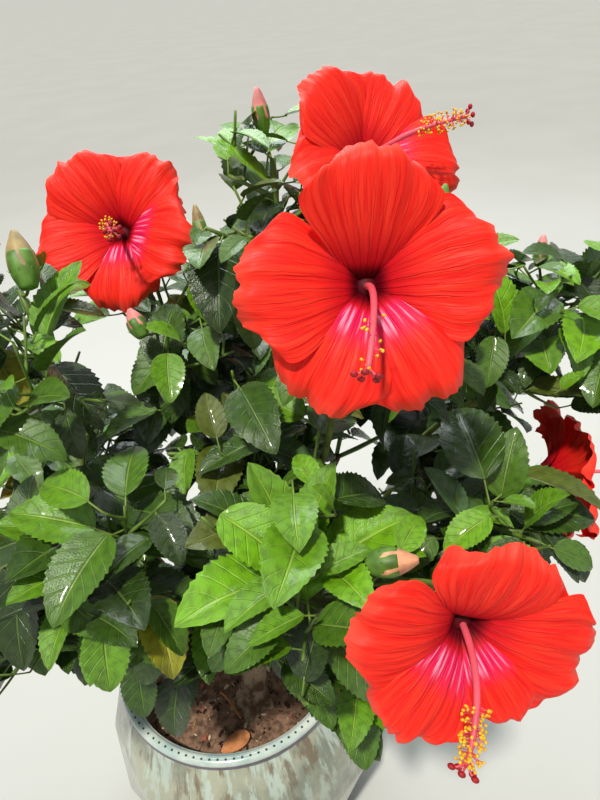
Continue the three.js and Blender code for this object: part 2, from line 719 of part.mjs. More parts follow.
// One leaf at a place along a line: it leaves at the given turn and droops, and is tried smaller where the
// full size isn't free.
function leafAt(mass, line, along, turn, [sizeDraw, droopDraw, rollDraw], taken) {
  const young = along > YOUNG_FROM;
  const axis = directionOf(line, along);
  const [side, up] = sidesOf(axis);
  const around = add(scale(side, Math.cos(turn)), scale(up, Math.sin(turn)));
  const stalkWay = unit(add(around, scale(axis, LEAF_LEAN)));
  const root = alongLine(line, along);
  const droop = LEAF_DROOPS[0] + LEAF_DROOPS[1] * droopDraw - (young ? YOUNG_LIFT : 0);
  const way = unit([stalkWay[0], stalkWay[1], stalkWay[2] * LEAF_LEVEL - droop]);
  for (const part of LEAF_TRIES) {
    const length = mass.leaf * (young ? YOUNG_SIZE : 1) * (LEAF_SIZES[0] + LEAF_SIZES[1] * sizeDraw) * part;
    const base = add(root, scale(stalkWay, length * PETIOLE_SHARE));
    const leaf = leafFrom(root, base, way, length * LEAF_BREADTH, length, (rollDraw - 0.5) * LEAF_ROLL);
    leaf.points = bladePoints(leaf);
    const apart = leaf.points.every(clearOfGaps) && !touches(leaf.points, taken.leaves, taken.twigs);
    if (apart && leafFree(mass, leaf, leaf.points)) {
      return leaf;
    }
  }
  return null;
}

// The twigs and leaves of one mass. Each candidate draws the same number of times, kept or not.
function grow(name, mass) {
  const draw = seeded(mass.seed);
  const lines = growTwigs(name, mass, draw);
  const twigs = lines.flatMap((line) => piecesOf(line, TWIG_PIECES));
  const leaves = placedLeaves(mass, lines);
  for (const line of lines) {
    const steps = Math.max(2, Math.round(size(sub(line.tip, line.foot)) / LEAF_SPACING));
    const offset = draw() * 6;
    for (let i = 0; i <= steps; i++) {
      const along = FIRST_LEAF + ((1 - FIRST_LEAF) * i) / steps;
      const draws = [draw(), draw(), draw()];
      const leaf = leafAt(mass, line, along, offset + i * GOLDEN_ANGLE, draws, { leaves, twigs });
      if (leaf) {
        leaves.push(leaf);
        line.bears = true;
      }
    }
  }
  return { lines: lines.filter((line) => line.bears), leaves };
}

// A leaf's solid: a six-cornered blade, thickest along the midrib, that narrows into a three-sided stalk.
const OUTLINE_NEAR = 0.24;
const OUTLINE_FAR = 0.66;
const RIB_MIDDLE = 0.46;

function leafSolid(leaf) {
  const half = scale(leaf.normal, LEAF_THICKNESS / 2);
  const rib = bladePoint(leaf, RIB_MIDDLE, 0);
  const stalkSide = scale(leaf.side, PETIOLE_RADIUS);
  const stalkUnder = scale(leaf.normal, -1.7 * PETIOLE_RADIUS);
  const stalkCorners = (end) => [add(end, stalkSide), sub(end, stalkSide), add(end, stalkUnder)];
  const corners = [
    ...stalkCorners(leaf.root),
    ...stalkCorners(leaf.base),
    bladePoint(leaf, OUTLINE_NEAR, 1),
    bladePoint(leaf, OUTLINE_FAR, 1),
    bladePoint(leaf, 1, 0),
    bladePoint(leaf, OUTLINE_FAR, -1),
    bladePoint(leaf, OUTLINE_NEAR, -1),
    add(rib, half),
    sub(rib, half),
  ];
  const faces = [[0, 1, 2]];
  for (let i = 0; i < 3; i++) {
    const next = (i + 1) % 3;
    faces.push([i, i + 3, next], [next, i + 3, next + 3]);
  }
  const upper = [4, 3, 6, 7, 8, 9, 10];
  const lower = [4, 10, 9, 8, 7, 6, 3, 5];
  upper.forEach((corner, i) => faces.push([corner, upper[(i + 1) % upper.length], 11]));
  lower.forEach((corner, i) => faces.push([corner, lower[(i + 1) % lower.length], 12]));
  return solidOfFaces(corners, faces);
}

// A bud: a spindle, thickest a little above its foot, on a stalk from the upper part of the mass's stem.
const BUD_STALK_RADII = [1.6, 1.5];

function budRadius(bud, t) {
  return bud.wide * 0.5 * (0.12 + 0.88 * Math.sin(Math.PI * Math.min(1, 0.16 + t * 0.8)));
}

function budSolid(bud, lines) {
  const way = unit(bud.way);
  const half = scale(way, bud.long / 2);
  const foot = sub(bud.middle, half);
  const spindle = { foot, bend: bud.middle, tip: add(bud.middle, half) };
  const root = nearestPoint(lines.slice(0, 1), foot, [0.7, 0.97]);
  const bend = sub(mix(root, foot, 0.6), scale(way, 6));
  const stalk = { foot: root, bend, tip: add(foot, scale(way, 3)), radii: BUD_STALK_RADII };
  return [tubeAlong(spindle, 5, 3, (t) => budRadius(bud, t)), tubeAlong(stalk, 3, 2)];
}

function massSolid(name, mass) {
  const { lines, leaves } = grow(name, mass);
  const pieces = lines.map((line, i) => tubeAlong(line, 3, i ? 1 : STEM_STEPS));
  for (const leaf of leaves) {
    pieces.push(leafSolid(leaf));
  }
  for (const bud of BUDS.filter((each) => each.mass === name)) {
    pieces.push(...budSolid(bud, lines));
  }
  return largest(wasm.Manifold.union(pieces));
}

// The biggest body of a union, so that no loose scrap stays with it.
function largest(solid) {
  return solid.decompose().sort((a, b) => b.volume() - a.volume())[0];
}

// A petal's point: u runs from its foot to its margin, v from one edge to the other.
function petalPoint(bloom, petal, u, v) {
  const { out, side, up } = frameOfBloom(bloom);
  const turn = ((bloom.turn + (petal * 360) / BLOOM_PETALS) * Math.PI) / 180;
  const along = add(scale(side, Math.cos(turn)), scale(up, Math.sin(turn)));
  const across = cross(out, along);
  const length = bloom.petal;
  const swell = PETAL_BREADTH * Math.pow(u, 1.1) * (1 - PETAL_NARROWING * Math.pow(u, 1.6));
  const half = length * (PETAL_FOOT_BREADTH + swell);
  const reach = PETAL_FOOT + (length - PETAL_FOOT) * (u - PETAL_ROUNDING * v * v * u * u);
  const twist = v * length * PETAL_TWIST * (0.2 + u) * (1 - 0.4 * u);
  const height = petalHeight(bloom, u) + twist - PETAL_CUPPING * length * v * v * u;
  return add(add(bloom.throat, scale(along, reach)), add(scale(across, half * v), scale(out, height)));
}

const PETAL_ROWS = [0.05, 0.6, 1];
const PETAL_COLUMNS = [-1, -0.5, 0.5, 1];

// The grid's corners in order round its edge.
function edgeOfGrid(rows, columns) {
  const across = Array.from({ length: columns }, (_, j) => j);
  const down = Array.from({ length: rows - 2 }, (_, i) => (i + 1) * columns);
  return [
    ...across,
    ...down.map((corner) => corner + columns - 1),
    ...across.map((j) => (rows - 1) * columns + j).reverse(),
    ...down.reverse(),
  ];
}

function petalSolid(bloom, petal) {
  const { out } = frameOfBloom(bloom);
  const half = scale(out, PETAL_THICKNESS / 2);
  const wide = PETAL_COLUMNS.length;
  const count = PETAL_ROWS.length * wide;
  const front = PETAL_ROWS.flatMap((u) => PETAL_COLUMNS.map((v) => petalPoint(bloom, petal, u, v)));
  const corners = [...front.map((point) => add(point, half)), ...front.map((point) => sub(point, half))];
  const faces = [];
  for (let i = 0; i + 1 < PETAL_ROWS.length; i++) {
    for (let j = 0; j + 1 < wide; j++) {
      const [a, b, c, d] = [i * wide + j, (i + 1) * wide + j, (i + 1) * wide + j + 1, i * wide + j + 1];
      faces.push([a, b, c], [a, c, d], [a + count, c + count, b + count], [a + count, d + count, c + count]);
    }
  }
  const edge = edgeOfGrid(PETAL_ROWS.length, wide);
  edge.forEach((a, k) => {
    const b = edge[(k + 1) % edge.length];
    faces.push([a, b, b + count], [a, b + count, a + count]);
  });
  return solidOfFaces(corners, faces);
}

// The column is slim, then thick with anthers, and ends in the stigmas.
function columnRadius(t) {
  return t < 0.6 ? COLUMN_RADIUS : COLUMN_RADIUS + 4.4 * Math.sin((Math.PI * (t - 0.6)) / 0.5);
}

// The calyx and the petals' joined feet widen from the stalk to the throat.
function calyxRadius(t) {
  return 3 + 13 * Math.pow(t, 0.8);
}

// A bloom: petals round a throat, a calyx on its stalk, and the column with its anthers and stigmas.
function bloomSolid(name, bloom) {
  const { out } = frameOfBloom(bloom);
  const stalk = stalks[name];
  const seat = sub(bloom.throat, scale(out, bloom.petal * THROAT_DEPTH));
  const calyx = { foot: sub(stalk.tip, scale(out, 3)), bend: seat, tip: mix(seat, bloom.throat, 0.62) };
  const rest = scale(out, size(sub(bloom.column, bloom.throat)) * COLUMN_REST);
  const column = { foot: seat, bend: add(bloom.throat, rest), tip: bloom.column };
  const pieces = [
    tubeAlong(stalk, 4, LIMB_STEPS),
    tubeAlong(calyx, 5, 2, calyxRadius),
    tubeAlong(column, 4, 5, columnRadius),
  ];
  for (let petal = 0; petal < BLOOM_PETALS; petal++) {
    pieces.push(petalSolid(bloom, petal));
  }
  return largest(wasm.Manifold.union(pieces));
}

// The trunk is cut flat at the soil: its flared foot is carried a little below the cut first.
const TRUNK_SIDES = 9;
const FLARE_TAPER = 7;

function trunkSolid() {
  const lean = scale(sub(TRUNK_TOP, TRUNK_FOOT), 0.1);
  const line = { foot: TRUNK_FOOT, bend: add(mix(TRUNK_FOOT, TRUNK_TOP, 0.4), [-4, -3, 0]), tip: TRUNK_TOP };
  const flare = (t) => TRUNK_RADIUS + (FLARE_RADIUS - TRUNK_RADIUS) * Math.pow(1 - t, 5);
  const stem = tubeAlong(line, TRUNK_SIDES, 4, flare);
  const sunk = { foot: sub(TRUNK_FOOT, lean), bend: TRUNK_FOOT, tip: add(TRUNK_FOOT, lean) };
  const root = tubeAlong(sunk, TRUNK_SIDES, 1, (t) => FLARE_RADIUS - FLARE_TAPER * t);
  const [x, y, cut] = TRUNK_FOOT;
  const below = solidOf(new THREE.BoxGeometry(200, 200, 100).translate(x, y, cut - 50));
  return largest(stem.add(root).add(ball(TRUNK_TOP, KNUCKLE_RADIUS, 1)).subtract(below));
}

function boughSolid(name) {
  const line = limbs[name];
  return tubeAlong(line, 6, LIMB_STEPS).add(ball(line.tip, line.radii[1] * TIP_KNUCKLE, 0));
}

const shrub = new THREE.Group();

function place(name, solid, look) {
  const [colour, roughness] = COLOURS[look];
  const material = new THREE.MeshStandardMaterial({ color: colour, roughness, metalness: 0 });
  const mesh = new THREE.Mesh(geometryOf(solid), material);
  mesh.name = name;
  shrub.add(mesh);
}

const { pot, soil } = potAndSoil();
place("pot", pot, "pot");
place("soil", soil, "soil");
place("trunk", trunkSolid(), "wood");
for (const name of Object.keys(BOUGHS)) {
  place(name, boughSolid(name), "wood");
}
for (const [name, mass] of Object.entries(MASSES)) {
  place(name, massSolid(name, mass), "leaves");
}
for (const [name, bloom] of Object.entries(BLOOMS)) {
  place(name, bloomSolid(name, bloom), "petals");
}

export default shrub;
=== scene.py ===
# A red-flowered hibiscus shrub in its glazed, faceted pot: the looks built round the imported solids.
# The growth is worked out in millimetres in the solids' own frame, and each piece is made in metres.
import math

import bpy
import numpy as np
from mathutils import Matrix, Vector


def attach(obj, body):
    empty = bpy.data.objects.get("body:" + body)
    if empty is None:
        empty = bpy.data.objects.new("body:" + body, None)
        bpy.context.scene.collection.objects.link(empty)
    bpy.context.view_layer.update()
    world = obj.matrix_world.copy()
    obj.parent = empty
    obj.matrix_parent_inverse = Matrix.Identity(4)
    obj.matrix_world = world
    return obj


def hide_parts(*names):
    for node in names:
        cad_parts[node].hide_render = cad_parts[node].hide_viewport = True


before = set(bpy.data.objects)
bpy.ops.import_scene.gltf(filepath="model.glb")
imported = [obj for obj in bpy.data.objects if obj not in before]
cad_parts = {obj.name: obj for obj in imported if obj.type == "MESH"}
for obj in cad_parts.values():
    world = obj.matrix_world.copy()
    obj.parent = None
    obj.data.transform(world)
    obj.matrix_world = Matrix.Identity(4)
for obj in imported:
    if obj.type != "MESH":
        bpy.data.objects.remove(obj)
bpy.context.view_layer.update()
MM = 0.001

# The sizes of the solids.
POT_HEIGHT = 330
RIM_RADIUS = 160
MOUTH_RADIUS = 147
RIM_DEPTH = 20
NECK_RADIUS = 154
BELLY_RADIUS = 198
BELLY_DROP = 164
BASE_RADIUS = 128
FACETS_ROUND = 12
FACET_ROWS = 4
SOIL_TOP = 295
SOIL_MOUND = 5
CLEARANCE = 0.3

TRUNK_FOOT = (26, -62, SOIL_TOP + SOIL_MOUND + CLEARANCE)
TRUNK_TOP = (40, -38, 382)
TRUNK_RADIUS = 15
FLARE_RADIUS = 30
KNUCKLE_RADIUS = 24

# The solids' rule of growth.
TIP_KNUCKLE = 2
STEM_SAG = 0.08
LIMB_STEPS = 4
STEM_STEPS = 3
GOLDEN_ANGLE = (137.5 * math.pi) / 180
LEAF_THICKNESS = 1.6
LEAF_FOLD = 0.16
LEAF_ARCH = 0.13
LEAF_BREADTH = 0.7
PETIOLE_SHARE = 0.3
PETIOLE_RADIUS = 0.8
STEM_RADII = (3.2, 2.4)
TWIG_RADII = (2.2, 1.6)
TWIG_PIECES = 4
TWIG_TRIES = (1, 0.8, 0.6, 0.42)
LEAF_TRIES = (1, 0.8, 0.64)
LEAF_SPACING = 22
LEAF_APART = 9
TWIG_APART = 3.5
CELL_MARGIN = 1.4
LIMB_MARGIN = 2.2
FIRST_LEAF = 0.12
YOUNG_FROM = 0.85
YOUNG_SIZE = 0.75
YOUNG_LIFT = 0.4
LEAF_LEAN = 0.55
LEAF_LEVEL = 0.6
FIRST_TWIG = 0.12
TWIG_SPAN = 0.76
TURN_STRAY = 0.5
TWIG_RISE = 0.7
TWIG_LENGTHS = (0.5, 0.3)
LEAF_SIZES = (0.85, 0.35)
LEAF_DROOPS = (0.1, 0.7)
LEAF_ROLL = 0.8
TURN_OFFSET = 6
PLACED_ROOTS = (0.1, 0.25, 0.4, 0.55, 0.7, 0.85, 1)
POT_KEEP = 6
LOWEST_LEAF = 60

# The same rule carried on to the finer twigs and their leaves.
FINER_SEED = 500
FINER_GENERATIONS = (1.0, 0.62)
FINER_TWIG_SPACING = 22
FINER_TWIG_SPAN = (0.18, 0.8)
FINER_TWIG_LENGTHS = (0.34, 0.32)
FINER_TWIG_RISES = (0.1, 0.35)
FINER_TWIG_LEAN = 0.7
FINER_TWIG_TRIES = (1, 0.72, 0.5)
FINER_TWIG_SAG = 0.06
FINER_RADII = (1.5, 1.0)
FINER_LEAF_SPACING = 13
FINER_LEAF_SIZES = (0.68, 0.42)
FINER_FIRST_LEAF = 0.16
FINER_APART = 3.6

BLOOM_PETALS = 5
PETAL_FOOT = 4
PETAL_RISE = 0.62
PETAL_RECURVE = 0.35
THROAT_DEPTH = 0.36
CALYX_LENGTH = 30
STALK_RADII = (2.6, 2.2)
STALK_STRAIGHT = 26
BLOOM_SKIN = 15
THROAT_SKIN = 20
BLOOM_REACH = 1.08
COLUMN_REST = 0.45
COLUMN_KEEP = 9


def vec(*values):
    return np.array(values[0] if len(values) == 1 else values, float)


def size(a):
    return math.sqrt(float(a[0] * a[0] + a[1] * a[1] + a[2] * a[2]))


def unit(a):
    return vec(a) * (1 / size(a))


def cross(a, b):
    return vec(a[1] * b[2] - a[2] * b[1], a[2] * b[0] - a[0] * b[2], a[0] * b[1] - a[1] * b[0])


def mix(a, b, t):
    return a * (1 - t) + b * t


def spread(pair, draw):
    """The pair's first number and, by the draw between 0 and 1, a share of its second."""
    return pair[0] + pair[1] * draw


def table(fields, rows):
    """Each row's values under the fields' names, its places and directions as vectors."""
    return {
        name: {field: vec(v) if np.shape(v) == (3,) else v for field, v in zip(fields.split(), row)}
        for name, row in rows.items()
    }


# Each bough: what it starts from, its bend, its tip and its radii at foot and tip.
BOUGHS = table("start bend tip radii", {
    "bough_left": ("trunk", (-30, -70, 440), (-60, -82, 570), (7, 5)),
    "bough_front": ("trunk", (62, -105, 440), (74, -135, 545), (7, 5)),
    "bough_centre": ("trunk", (48, -36, 500), (95, -18, 615), (7.5, 5.5)),
    "bough_right": ("trunk", (120, -44, 430), (205, -40, 590), (7.5, 5.5)),
    "bough_back": ("trunk", (22, 40, 440), (8, 95, 585), (7, 5)),
    "bough_back_left": ("trunk", (-40, 8, 420), (-112, 72, 500), (6.5, 4.5)),
    "bough_back_right": ("trunk", (94, 34, 430), (172, 132, 540), (6.5, 4.5)),
    "bough_left_high": ("bough_left", (-112, -76, 652), (-64, -72, 776), (3.6, 2.8)),
    "bough_front_high": ("bough_front", (92, -172, 600), (112, -192, 664), (3.6, 3)),
    "bough_top": ("bough_centre", (112, 34, 706), (126, 14, 846), (4, 3)),
    "bough_bloom": ("bough_centre", (152, -72, 682), (158, -116, 826), (3.6, 2.8)),
    "bough_right_high": ("bough_right", (230, -4, 676), (306, -22, 728), (4, 3)),
    "bough_back_high": ("bough_back", (2, 80, 680), (2, 70, 752), (3.6, 2.8)),
})

# Each mass: its bough, its stem's tip, the middle and reach of its space, how many twigs, the length of its leaves, its
# seed, and the side of the crown that its leaves are counted to.
MASSES = table("start tip middle reach twigs leaf seed side", {
    "mass_left_low": ("bough_left", (-160, -140, 612), (-140, -130, 630), 132, 7, 88, 11, "left"),
    "mass_left_high": ("bough_left_high", (-88, -36, 905), (-92, -50, 850), 125, 7, 76, 12, "left"),
    "mass_left_front": ("bough_left", (-30, -170, 740), (-30, -156, 706), 118, 10, 88, 46, "front"),
    "mass_left_middle": ("bough_back_high", (8, 20, 832), (-4, 20, 800), 125, 7, 82, 14, "left"),
    "mass_low_front_left": ("bough_front", (22, -152, 610), (0, -156, 556), 118, 9, 88, 15, "front"),
    "mass_low_front_right": ("bough_front", (132, -176, 560), (140, -180, 530), 116, 6, 88, 16, "front"),
    "mass_centre_front": ("bough_front_high", (104, -208, 770), (118, -205, 722), 108, 6, 70, 17, "front"),
    "mass_centre": ("bough_centre", (60, -76, 760), (84, -68, 715), 130, 8, 90, 18, "front"),
    "mass_behind_bloom": ("bough_bloom", (190, -76, 860), (196, -70, 830), 103, 6, 80, 19, "right"),
    "mass_top": ("bough_top", (130, 8, 975), (112, 22, 925), 125, 4, 62, 20, "right"),
    "mass_right_high": ("bough_right_high", (376, 8, 830), (362, 2, 792), 116, 5, 66, 21, "right"),
    "mass_right_low": ("bough_right", (272, -150, 712), (288, -118, 690), 112, 7, 68, 22, "right"),
    "mass_right_under": ("bough_right", (268, -90, 560), (250, -90, 540), 125, 5, 86, 23, "right"),
    "mass_back": ("bough_back", (20, 212, 650), (24, 205, 640), 143, 5, 92, 24, "back"),
    "mass_back_left": ("bough_back_left", (-204, 112, 612), (-160, 140, 610), 143, 8, 92, 25, "back"),
    "mass_left_under": ("bough_back_left", (-212, 10, 540), (-200, 0, 510), 137, 5, 90, 26, "left"),
    "mass_back_right": ("bough_back_right", (218, 210, 680), (212, 200, 650), 143, 5, 92, 27, "back"),
    "mass_right_back": ("bough_back_right", (318, 118, 640), (316, 108, 620), 137, 8, 88, 28, "back"),
})
OWN_BENDS = {"mass_centre_front": (84, -214, 710)}
# Leaves placed by the photo: base, tip and width.
PLACED = {
    "mass_left_low": [((-84, -134, 616), (-104, -184, 574), 46), ((-120, -158, 716), (-128, -214, 650), 50)],
    "mass_left_high": [((-73, -65, 868), (-44, -30, 922), 44), ((-96, -98, 806), (-150, -146, 822), 52)],
    "mass_left_front": [((-47, -118, 752), (44, -180, 748), 58), ((-45, -127, 712), (-18, -214, 662), 62)],
    "mass_left_middle": [((8, -32, 814), (20, 12, 856), 46)],
    "mass_low_front_left": [
        ((80, -158, 604), (-4, -204, 608), 54), ((-24, -150, 512), (-40, -190, 466), 46),
        ((-21, -121, 485), (-35, -163, 461), 42), ((-60, -150, 550), (-58, -190, 511), 38),
        ((17, -103, 613), (10, -160, 603), 47),
    ],
    "mass_low_front_right": [((112, -166, 556), (168, -250, 530), 60)],
    "mass_centre_front": [
        ((104, -222, 738), (42, -258, 768), 58), ((138, -211, 736), (196, -196, 770), 56),
        ((112, -208, 748), (96, -184, 812), 40), ((122, -204, 748), (142, -184, 806), 36),
        ((116, -221, 721), (136, -252, 676), 36),
    ],
    "mass_centre": [((134, -76, 765), (46, -116, 776), 48)],
    "mass_top": [((124, 0, 958), (82, 10, 1004), 30)],
    "mass_right_high": [
        ((357, -10, 778), (410, -26, 802), 42), ((330, -29, 751), (388, -52, 756), 42),
        ((354, 3, 797), (347, 32, 837), 27),
    ],
    "mass_right_low": [((292, -146, 718), (306, -122, 768), 38), ((312, -130, 696), (340, -162, 669), 32)],
}

# The gaps that the photo shows, as tapering channels: near end, far end and the radii there.
GAPS = [
    ((25, -294, 691), (-107, -21, 178), (30, 67)),
    ((75, -294, 690), (9, -33, 195), (31, 69)),
    ((116, -327, 644), (100, -132, 160), (30, 61)),
    ((38, -322, 650), (-60, -121, 174), (31, 64)),
    ((-67, -294, 690), (-387, 63, 19), (42, 111)),
    ((66, -72, 1001), (-8, 432, 882), (26, 56)),
    ((83, -45, 1040), (28, 491, 965), (27, 58)),
    ((87, -90, 977), (38, 395, 830), (14, 29)),
    ((49, -214, 1009), (-5, -14, 945), (36, 60)),
    ((325, -107, 953), (547, 359, 779), (26, 56)),
    ((282, -98, 965), (455, 378, 805), (29, 61)),
    ((-49, -81, 989), (-256, 414, 856), (27, 58)),
    ((12, -242, 1004), (-62, -72, 941), (15, 25)),
    ((155, -383, 944), (178, -252, 783), (10, 19)),
    ((13, -160, 912), (-148, 327, 647), (18, 42)),
]

# Each bloom: its bough, its throat, the way it faces, the end of its column, its first petal's turn in degrees and
# the length of its petals.
BLOOMS = table("start throat faces column turn petal", {
    "bloom_front": ("bough_bloom", (179, -195, 953), (0.02, -0.86, 0.5), (166, -259, 936), 90, 80),
    "bloom_top": ("bough_top", (214, 8, 972), (0.34, -0.72, 0.6), (281, -14, 996), 62, 78),
    "bloom_left": ("bough_back_high", (-21, 45, 922), (-0.12, -0.8, 0.58), (-6, -18, 939), 54, 76),
    "bloom_low_right": ("bough_front_high", (214, -318, 779), (0.03, -0.96, 0.24), (195, -371, 762), 80, 74),
    "bloom_right": ("bough_right", (392, -66, 660), (0.93, -0.1, 0.1), (452, -84, 668), 70, 74),
    "bloom_back": ("bough_back", (144, 262, 752), (0.1, 0.9, 0.36), (150, 328, 768), 90, 76),
    "bloom_back_left": ("bough_back_left", (-296, 84, 640), (-0.84, 0.36, 0.4), (-352, 108, 666), 70, 76),
})

# Each bud: its mass, its middle, the way it points, how long and wide it is, and the colour of its tip.
BUDS = [
    ("mass_top", (124, 50, 1004), (-0.05, 0.1, 1), 36, 15, "pink"),
    ("mass_left_high", (-74, -44, 933), (-0.16, 0.57, 0.8), 47, 23, "olive"),
    ("mass_centre_front", (181, -242, 769), (0.99, -0.12, 0.12), 36, 21, "peach"),
    ("mass_right_high", (376, 34, 858), (0.1, 0.2, 1), 30, 14, "pink"),
    ("mass_right_high", (400, 4, 836), (0.6, 0, 0.8), 34, 16, "olive"),
    ("mass_left_middle", (54, 63, 906), (-0.11, 0.58, 0.81), 45, 14, "olive"),
    ("mass_left_middle", (-2, -35, 863), (-0.35, 0.54, 0.76), 27, 17, "pink"),
    ("mass_behind_bloom", (263, -20, 937), (0.38, 0.54, 0.75), 24, 15, "green"),
]


def seeded(seed):
    state = seed * 7919

    def draw():
        nonlocal state
        state = (state * 1664525 + 1013904223) % 4294967296
        return state / 4294967296

    return draw


def along_line(line, t):
    return mix(mix(line["foot"], line["bend"], t), mix(line["bend"], line["tip"], t), t)


def direction_of(line, t):
    return unit(mix(line["bend"] - line["foot"], line["tip"] - line["bend"], t))


def radius_of(line, t):
    return line["radii"][0] + (line["radii"][1] - line["radii"][0]) * t


def sides_of(way):
    level = vec(0, 1, 0) if abs(way[2]) > 0.96 else vec(0, 0, 1)
    side = unit(cross(way, level))
    return side, cross(side, way)


def around(side, up, turn):
    return side * math.cos(turn) + up * math.sin(turn)


def pot_radius(height):
    drop = POT_HEIGHT - np.asarray(height, float)
    near = 1 - drop / BELLY_DROP
    below = (drop - BELLY_DROP) / (POT_HEIGHT - BELLY_DROP)
    upper = BELLY_RADIUS - (BELLY_RADIUS - NECK_RADIUS) * near * near
    return np.where(drop < BELLY_DROP, upper, BELLY_RADIUS - (BELLY_RADIUS - BASE_RADIUS) * below * below)


# The lines of the limbs, the blooms' stalks and the masses' stems, each from the skin of the knuckle that it leaves.
ends = {"trunk": (vec(TRUNK_TOP), KNUCKLE_RADIUS)}


def line_from(start, bend, tip, radii):
    at, knuckle = ends[start]
    foot = at + unit(bend - at) * (knuckle + CLEARANCE)
    return dict(foot=foot, bend=bend, tip=tip, radii=radii, start=start)


limbs, stalks, stems = {}, {}, {}
for name, bough in BOUGHS.items():
    limbs[name] = line_from(**bough)
    ends[name] = (bough["tip"], bough["radii"][1] * TIP_KNUCKLE)

for name, bloom in BLOOMS.items():
    bloom["out"] = unit(bloom["faces"])
    bloom["side"], bloom["up"] = sides_of(bloom["out"])
    back = bloom["throat"] - bloom["out"] * (bloom["petal"] * THROAT_DEPTH + CALYX_LENGTH)
    bend = back - bloom["out"] * STALK_STRAIGHT + (ends[bloom["start"]][0] - back) * 0.25
    stalks[name] = line_from(bloom["start"], bend, back, STALK_RADII)

for name, mass in MASSES.items():
    at, tip = ends[mass["start"]][0], mass["tip"]
    sagging = (at + tip) * 0.5 + vec(0, 0, -STEM_SAG * size(tip - at))
    stems[name] = line_from(mass["start"], vec(OWN_BENDS.get(name, sagging)), tip, STEM_RADII)


def pieces_of(line, steps):
    """The straight pieces of a line: the start, the run and the radius of each."""
    points = [along_line(line, i / steps) for i in range(steps + 1)]
    return [(points[i], points[i + 1] - points[i], radius_of(line, i / steps)) for i in range(steps)]


blocking = []
for line in [*limbs.values(), *stalks.values()]:
    blocking += [(*piece, None) for piece in pieces_of(line, LIMB_STEPS)]
for line in limbs.values():
    blocking.append((line["tip"], vec(0, 0, 0.001), line["radii"][1] * TIP_KNUCKLE, None))
blocking.append((vec(TRUNK_FOOT), vec(TRUNK_TOP) - vec(TRUNK_FOOT), KNUCKLE_RADIUS, None))
for bloom in BLOOMS.values():
    blocking.append((bloom["throat"], bloom["column"] - bloom["throat"], COLUMN_KEEP, None))
for name, stem in stems.items():
    blocking += [(*piece, name) for piece in pieces_of(stem, STEM_STEPS)]
BLOCK_STARTS, BLOCK_RUNS, BLOCK_RADII, BLOCK_OWNERS = (np.array(column) for column in zip(*blocking))
MIDDLES = np.array([mass["middle"] for mass in MASSES.values()])
REACHES = np.array([mass["reach"] for mass in MASSES.values()], float)
NAMES = list(MASSES)
GAP_STARTS, GAP_ENDS, GAP_RADII = (np.array(column, float) for column in zip(*GAPS))


def nearest(points, starts, runs):
    """How far along each run its place nearest to each point is, and how far away."""
    reach = points[:, None, :] - starts
    t = np.clip((reach * runs).sum(2) / (runs * runs).sum(1), 0, 1)
    away = reach - t[:, :, None] * runs
    return t, np.sqrt((away * away).sum(2))


def clear_of_limbs(name, points, margin):
    other = BLOCK_OWNERS != name
    return (nearest(points, BLOCK_STARTS[other], BLOCK_RUNS[other])[1] > BLOCK_RADII[other] + margin).all()


def clear_of_gaps(points):
    t, away = nearest(points, GAP_STARTS, GAP_ENDS - GAP_STARTS)
    return (away > GAP_RADII[:, 0] + (GAP_RADII[:, 1] - GAP_RADII[:, 0]) * t).all()


def petal_height(bloom, u):
    return bloom["petal"] * (-THROAT_DEPTH + PETAL_RISE * u**0.6 * (1 - PETAL_RECURVE * u * u))


def clear_of_blooms(points):
    for bloom in BLOOMS.values():
        away = points - bloom["throat"]
        height = away @ bloom["out"]
        flat = away - height[:, None] * bloom["out"]
        wide = np.sqrt((flat * flat).sum(1))
        u = np.minimum(1, wide / bloom["petal"])
        near = np.abs(height - petal_height(bloom, u)) <= BLOOM_SKIN + THROAT_SKIN * (1 - u) * (1 - u)
        if (near & (wide <= bloom["petal"] * BLOOM_REACH + PETAL_FOOT)).any():
            return False
    return True


def clear_of_pot(points):
    wide = np.hypot(points[:, 0], points[:, 1])
    high = points[:, 2]
    inside = (high > SOIL_TOP + SOIL_MOUND + POT_KEEP) & (wide < MOUTH_RADIUS - 8)
    beside = (high > LOWEST_LEAF) & (wide > pot_radius(high) + 9)
    return ((high > POT_HEIGHT + POT_KEEP) | inside | beside).all()


def inside_space(name, points, margin):
    """Whether the points are in the mass's ball, on its own side of the planes to the other masses."""
    index = NAMES.index(name)
    away = points[:, None, :] - MIDDLES
    square = (away * away).sum(2)
    if (np.sqrt(square[:, index]) > REACHES[index] - margin).any():
        return False
    power = square - REACHES**2
    gap = np.sqrt(((MIDDLES - MIDDLES[index]) ** 2).sum(1))
    gap[index] = 1
    room = (power - power[:, index : index + 1]) / (2 * gap)
    room[:, index] = np.inf
    return (room > margin).all()


def free(name, points, margin):
    return (
        inside_space(name, points, CELL_MARGIN + margin)
        and clear_of_limbs(name, points, LIMB_MARGIN + margin)
        and clear_of_blooms(points)
        and clear_of_pot(points)
    )


# Where along and across it a blade, a stalk and a twig are tested.
BLADE_STEPS = np.array([0, 0.1, 0.2, 0.3, 0.4, 0.5, 0.6, 0.7, 0.8, 0.9, 1])
BLADE_SIDES = np.array([-1, -0.7, -0.35, 0, 0.35, 0.7, 1])
PETIOLE_STEPS = (0.2, 0.4, 0.6, 0.8)
TWIG_STEPS = (0.12, 0.23, 0.34, 0.45, 0.56, 0.67, 0.78, 0.89, 1)


def half_width(t):
    return t**0.55 * (1 - t) ** 0.75 * 1.9


